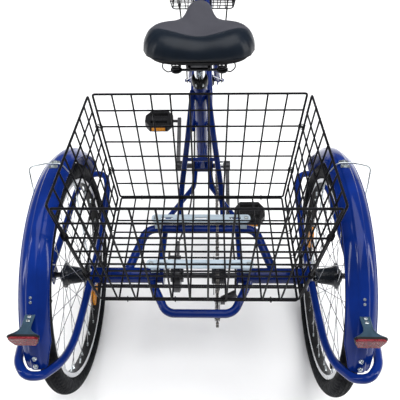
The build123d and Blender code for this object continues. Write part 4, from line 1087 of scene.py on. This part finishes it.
def pitch_radius(teeth):
    """The radius of a chain wheel's pitch circle."""
    return CHAIN_PITCH / (2 * math.sin(math.pi / teeth))


# Centre (y, z), pitch radius and sense of turn of each sprocket along the chain.
SPROCKETS = (((BB_Y, BB_Z), pitch_radius(38), 1), ((0, WHEEL_R), pitch_radius(20), 1),
             ((-34, 232), pitch_radius(11), -1), ((-58, 182), pitch_radius(11), 1))


def tangent_points(first, second):
    """Where the straight run between two sprockets leaves one and meets the next."""
    (c1, r1, s1), (c2, r2, s2) = first, second
    c1, c2 = Vector(c1), Vector(c2)
    heading = math.atan2(c2.y - c1.y, c2.x - c1.x)
    angle = heading - math.pi / 2 + math.asin((s1 * r1 - s2 * r2) / (c2 - c1).length)
    out = Vector((math.cos(angle), math.sin(angle)))
    return c1 + out * (s1 * r1), c2 + out * (s2 * r2)


def chain_line():
    """Close points all the way round the chain."""
    runs = [tangent_points(SPROCKETS[i], SPROCKETS[(i + 1) % 4]) for i in range(4)]
    line = []
    for index, (centre, size, sense) in enumerate(SPROCKETS):
        centre = Vector(centre)
        start, end = runs[index - 1][1] - centre, runs[index][0] - centre
        first, last = math.atan2(start.y, start.x), math.atan2(end.y, end.x)
        wrap = (last - first) % (2 * math.pi) - (2 * math.pi if sense < 0 else 0)
        for step in range(61):
            turn = first + wrap * step / 60
            line.append(centre + Vector((math.cos(turn), math.sin(turn))) * size)
        line += [runs[index][0].lerp(runs[index][1], share / 40) for share in range(1, 40)]
    return line


def make_chain():
    """A roller chain of inner and outer links round the sprockets."""
    line = chain_line()
    lengths = [0.0]
    for here, after in zip(line, line[1:] + line[:1]):
        lengths.append(lengths[-1] + (after - here).length)
    links = 2 * round(lengths[-1] / CHAIN_PITCH / 2)
    pins, index = [], 0
    for link in range(links):
        reach = lengths[-1] * link / links
        while lengths[index + 1] < reach:
            index += 1
        share = (reach - lengths[index]) / (lengths[index + 1] - lengths[index])
        pins.append(line[index].lerp(line[(index + 1) % len(line)], share))
    shape = Shape()
    for link, pin in enumerate(pins):
        after = pins[(link + 1) % links]
        along = (after - pin).normalized()
        across = Vector((-along.y, along.x))
        offset = 3.1 if link % 2 else 2.1
        outline = []
        for end, way in ((pin, -1), (after, 1)):
            for degrees in (-72, -36, 0, 36, 72):
                turn = math.radians(degrees) * way
                outline.append(end + (along * math.cos(turn) * way + across * math.sin(turn)) * 4.1)
        waist = (pin + after) / 2
        outline.insert(5, waist + across * 2.7)
        outline.append(waist - across * 2.7)
        for side in (-1, 1):
            flat = placed((CHAIN_X + side * offset - 0.45, *point) for point in outline)
            prism(shape, flat, (0.0009, 0, 0))
        for half, radius, sides in ((2.0, 0.0038, 12), (4.1, 0.0017, 8)):
            turned(shape, place(CHAIN_X - half, pin.x, pin.y), (1, 0, 0),
                   [(0, radius), (half / 500, radius)], sides)
    piece("link_chain", shape, [CHAIN], "frame", ["chain"])


make_chain()


# ---- camera, light and floor ---------------------------------------------------------
def make_camera():
    """The camera above and behind the tricycle: yaw is to the right, pitch down, roll clockwise."""
    data = bpy.data.cameras.new("camera")
    data.sensor_width = 36
    data.lens = 44.51
    data.clip_start = 0.01
    made = linked("camera", data)
    yaw, pitch, roll = (math.radians(angle) for angle in (-2.05, 45.81, 1.45))
    turn = Matrix.Rotation(-yaw, 4, "Z") @ Matrix.Rotation(math.pi / 2 - pitch, 4, "X")
    made.matrix_world = Matrix.Translation(place(32, -776, 1388)) @ turn @ Matrix.Rotation(-roll, 4, "Z")
    bpy.context.scene.camera = made


def soft_light(name, spot, aim, size, power):
    """A rectangular area light that faces a point. Places and sizes are in metres."""
    data = bpy.data.lights.new(name, "AREA")
    data.shape = "RECTANGLE"
    data.size, data.size_y = size
    data.energy = power
    made = linked(name, data)
    made.location = spot
    made.rotation_euler = (Vector(aim) - Vector(spot)).to_track_quat("-Z", "Y").to_euler()


def make_stage():
    """A pale floor, a soft even sky and three large studio lights."""
    scene = bpy.context.scene
    scene.view_settings.view_transform = "Standard"
    scene.world = bpy.data.worlds.new("studio")
    scene.world.use_nodes = True
    background = scene.world.node_tree.nodes["Background"].inputs
    background["Color"].default_value = (0.93, 0.95, 1.0, 1)
    background["Strength"].default_value = 0.22
    floor = bpy.data.meshes.new("floor")
    floor.from_pydata([(-14, -14, 0), (14, -14, 0), (14, 14, 0), (-14, 14, 0)], [], [(0, 1, 2, 3)])
    pale = Skin("pale_floor", {"Roughness": 0.9, "IOR": 1.2})
    pale.tint(pale.noise(2, 3), (0.9, 0.9, 0.9), (0.94, 0.94, 0.94))
    floor.materials.append(pale.material)
    made = linked("floor", floor)
    made.location.z = -0.0005
    sky = bpy.data.lights.new("sky", "SUN")
    sky.energy = 3.0
    sky.angle = math.radians(70)
    made = linked("sky", sky)
    made.rotation_euler = (math.radians(-12), math.radians(8), 0)
    made.visible_glossy = False
    soft_light("overhead", (0.3, -0.4, 3.4), (0, 0, 0.3), (2.6, 2.6), 60)
    soft_light("left_strip", (-2.6, -0.9, 1.9), (0, -0.1, 0.4), (0.3, 2.4), 24)
    soft_light("right_strip", (2.6, -0.6, 1.7), (0, -0.1, 0.4), (0.3, 2.4), 24)


make_camera()
make_stage()
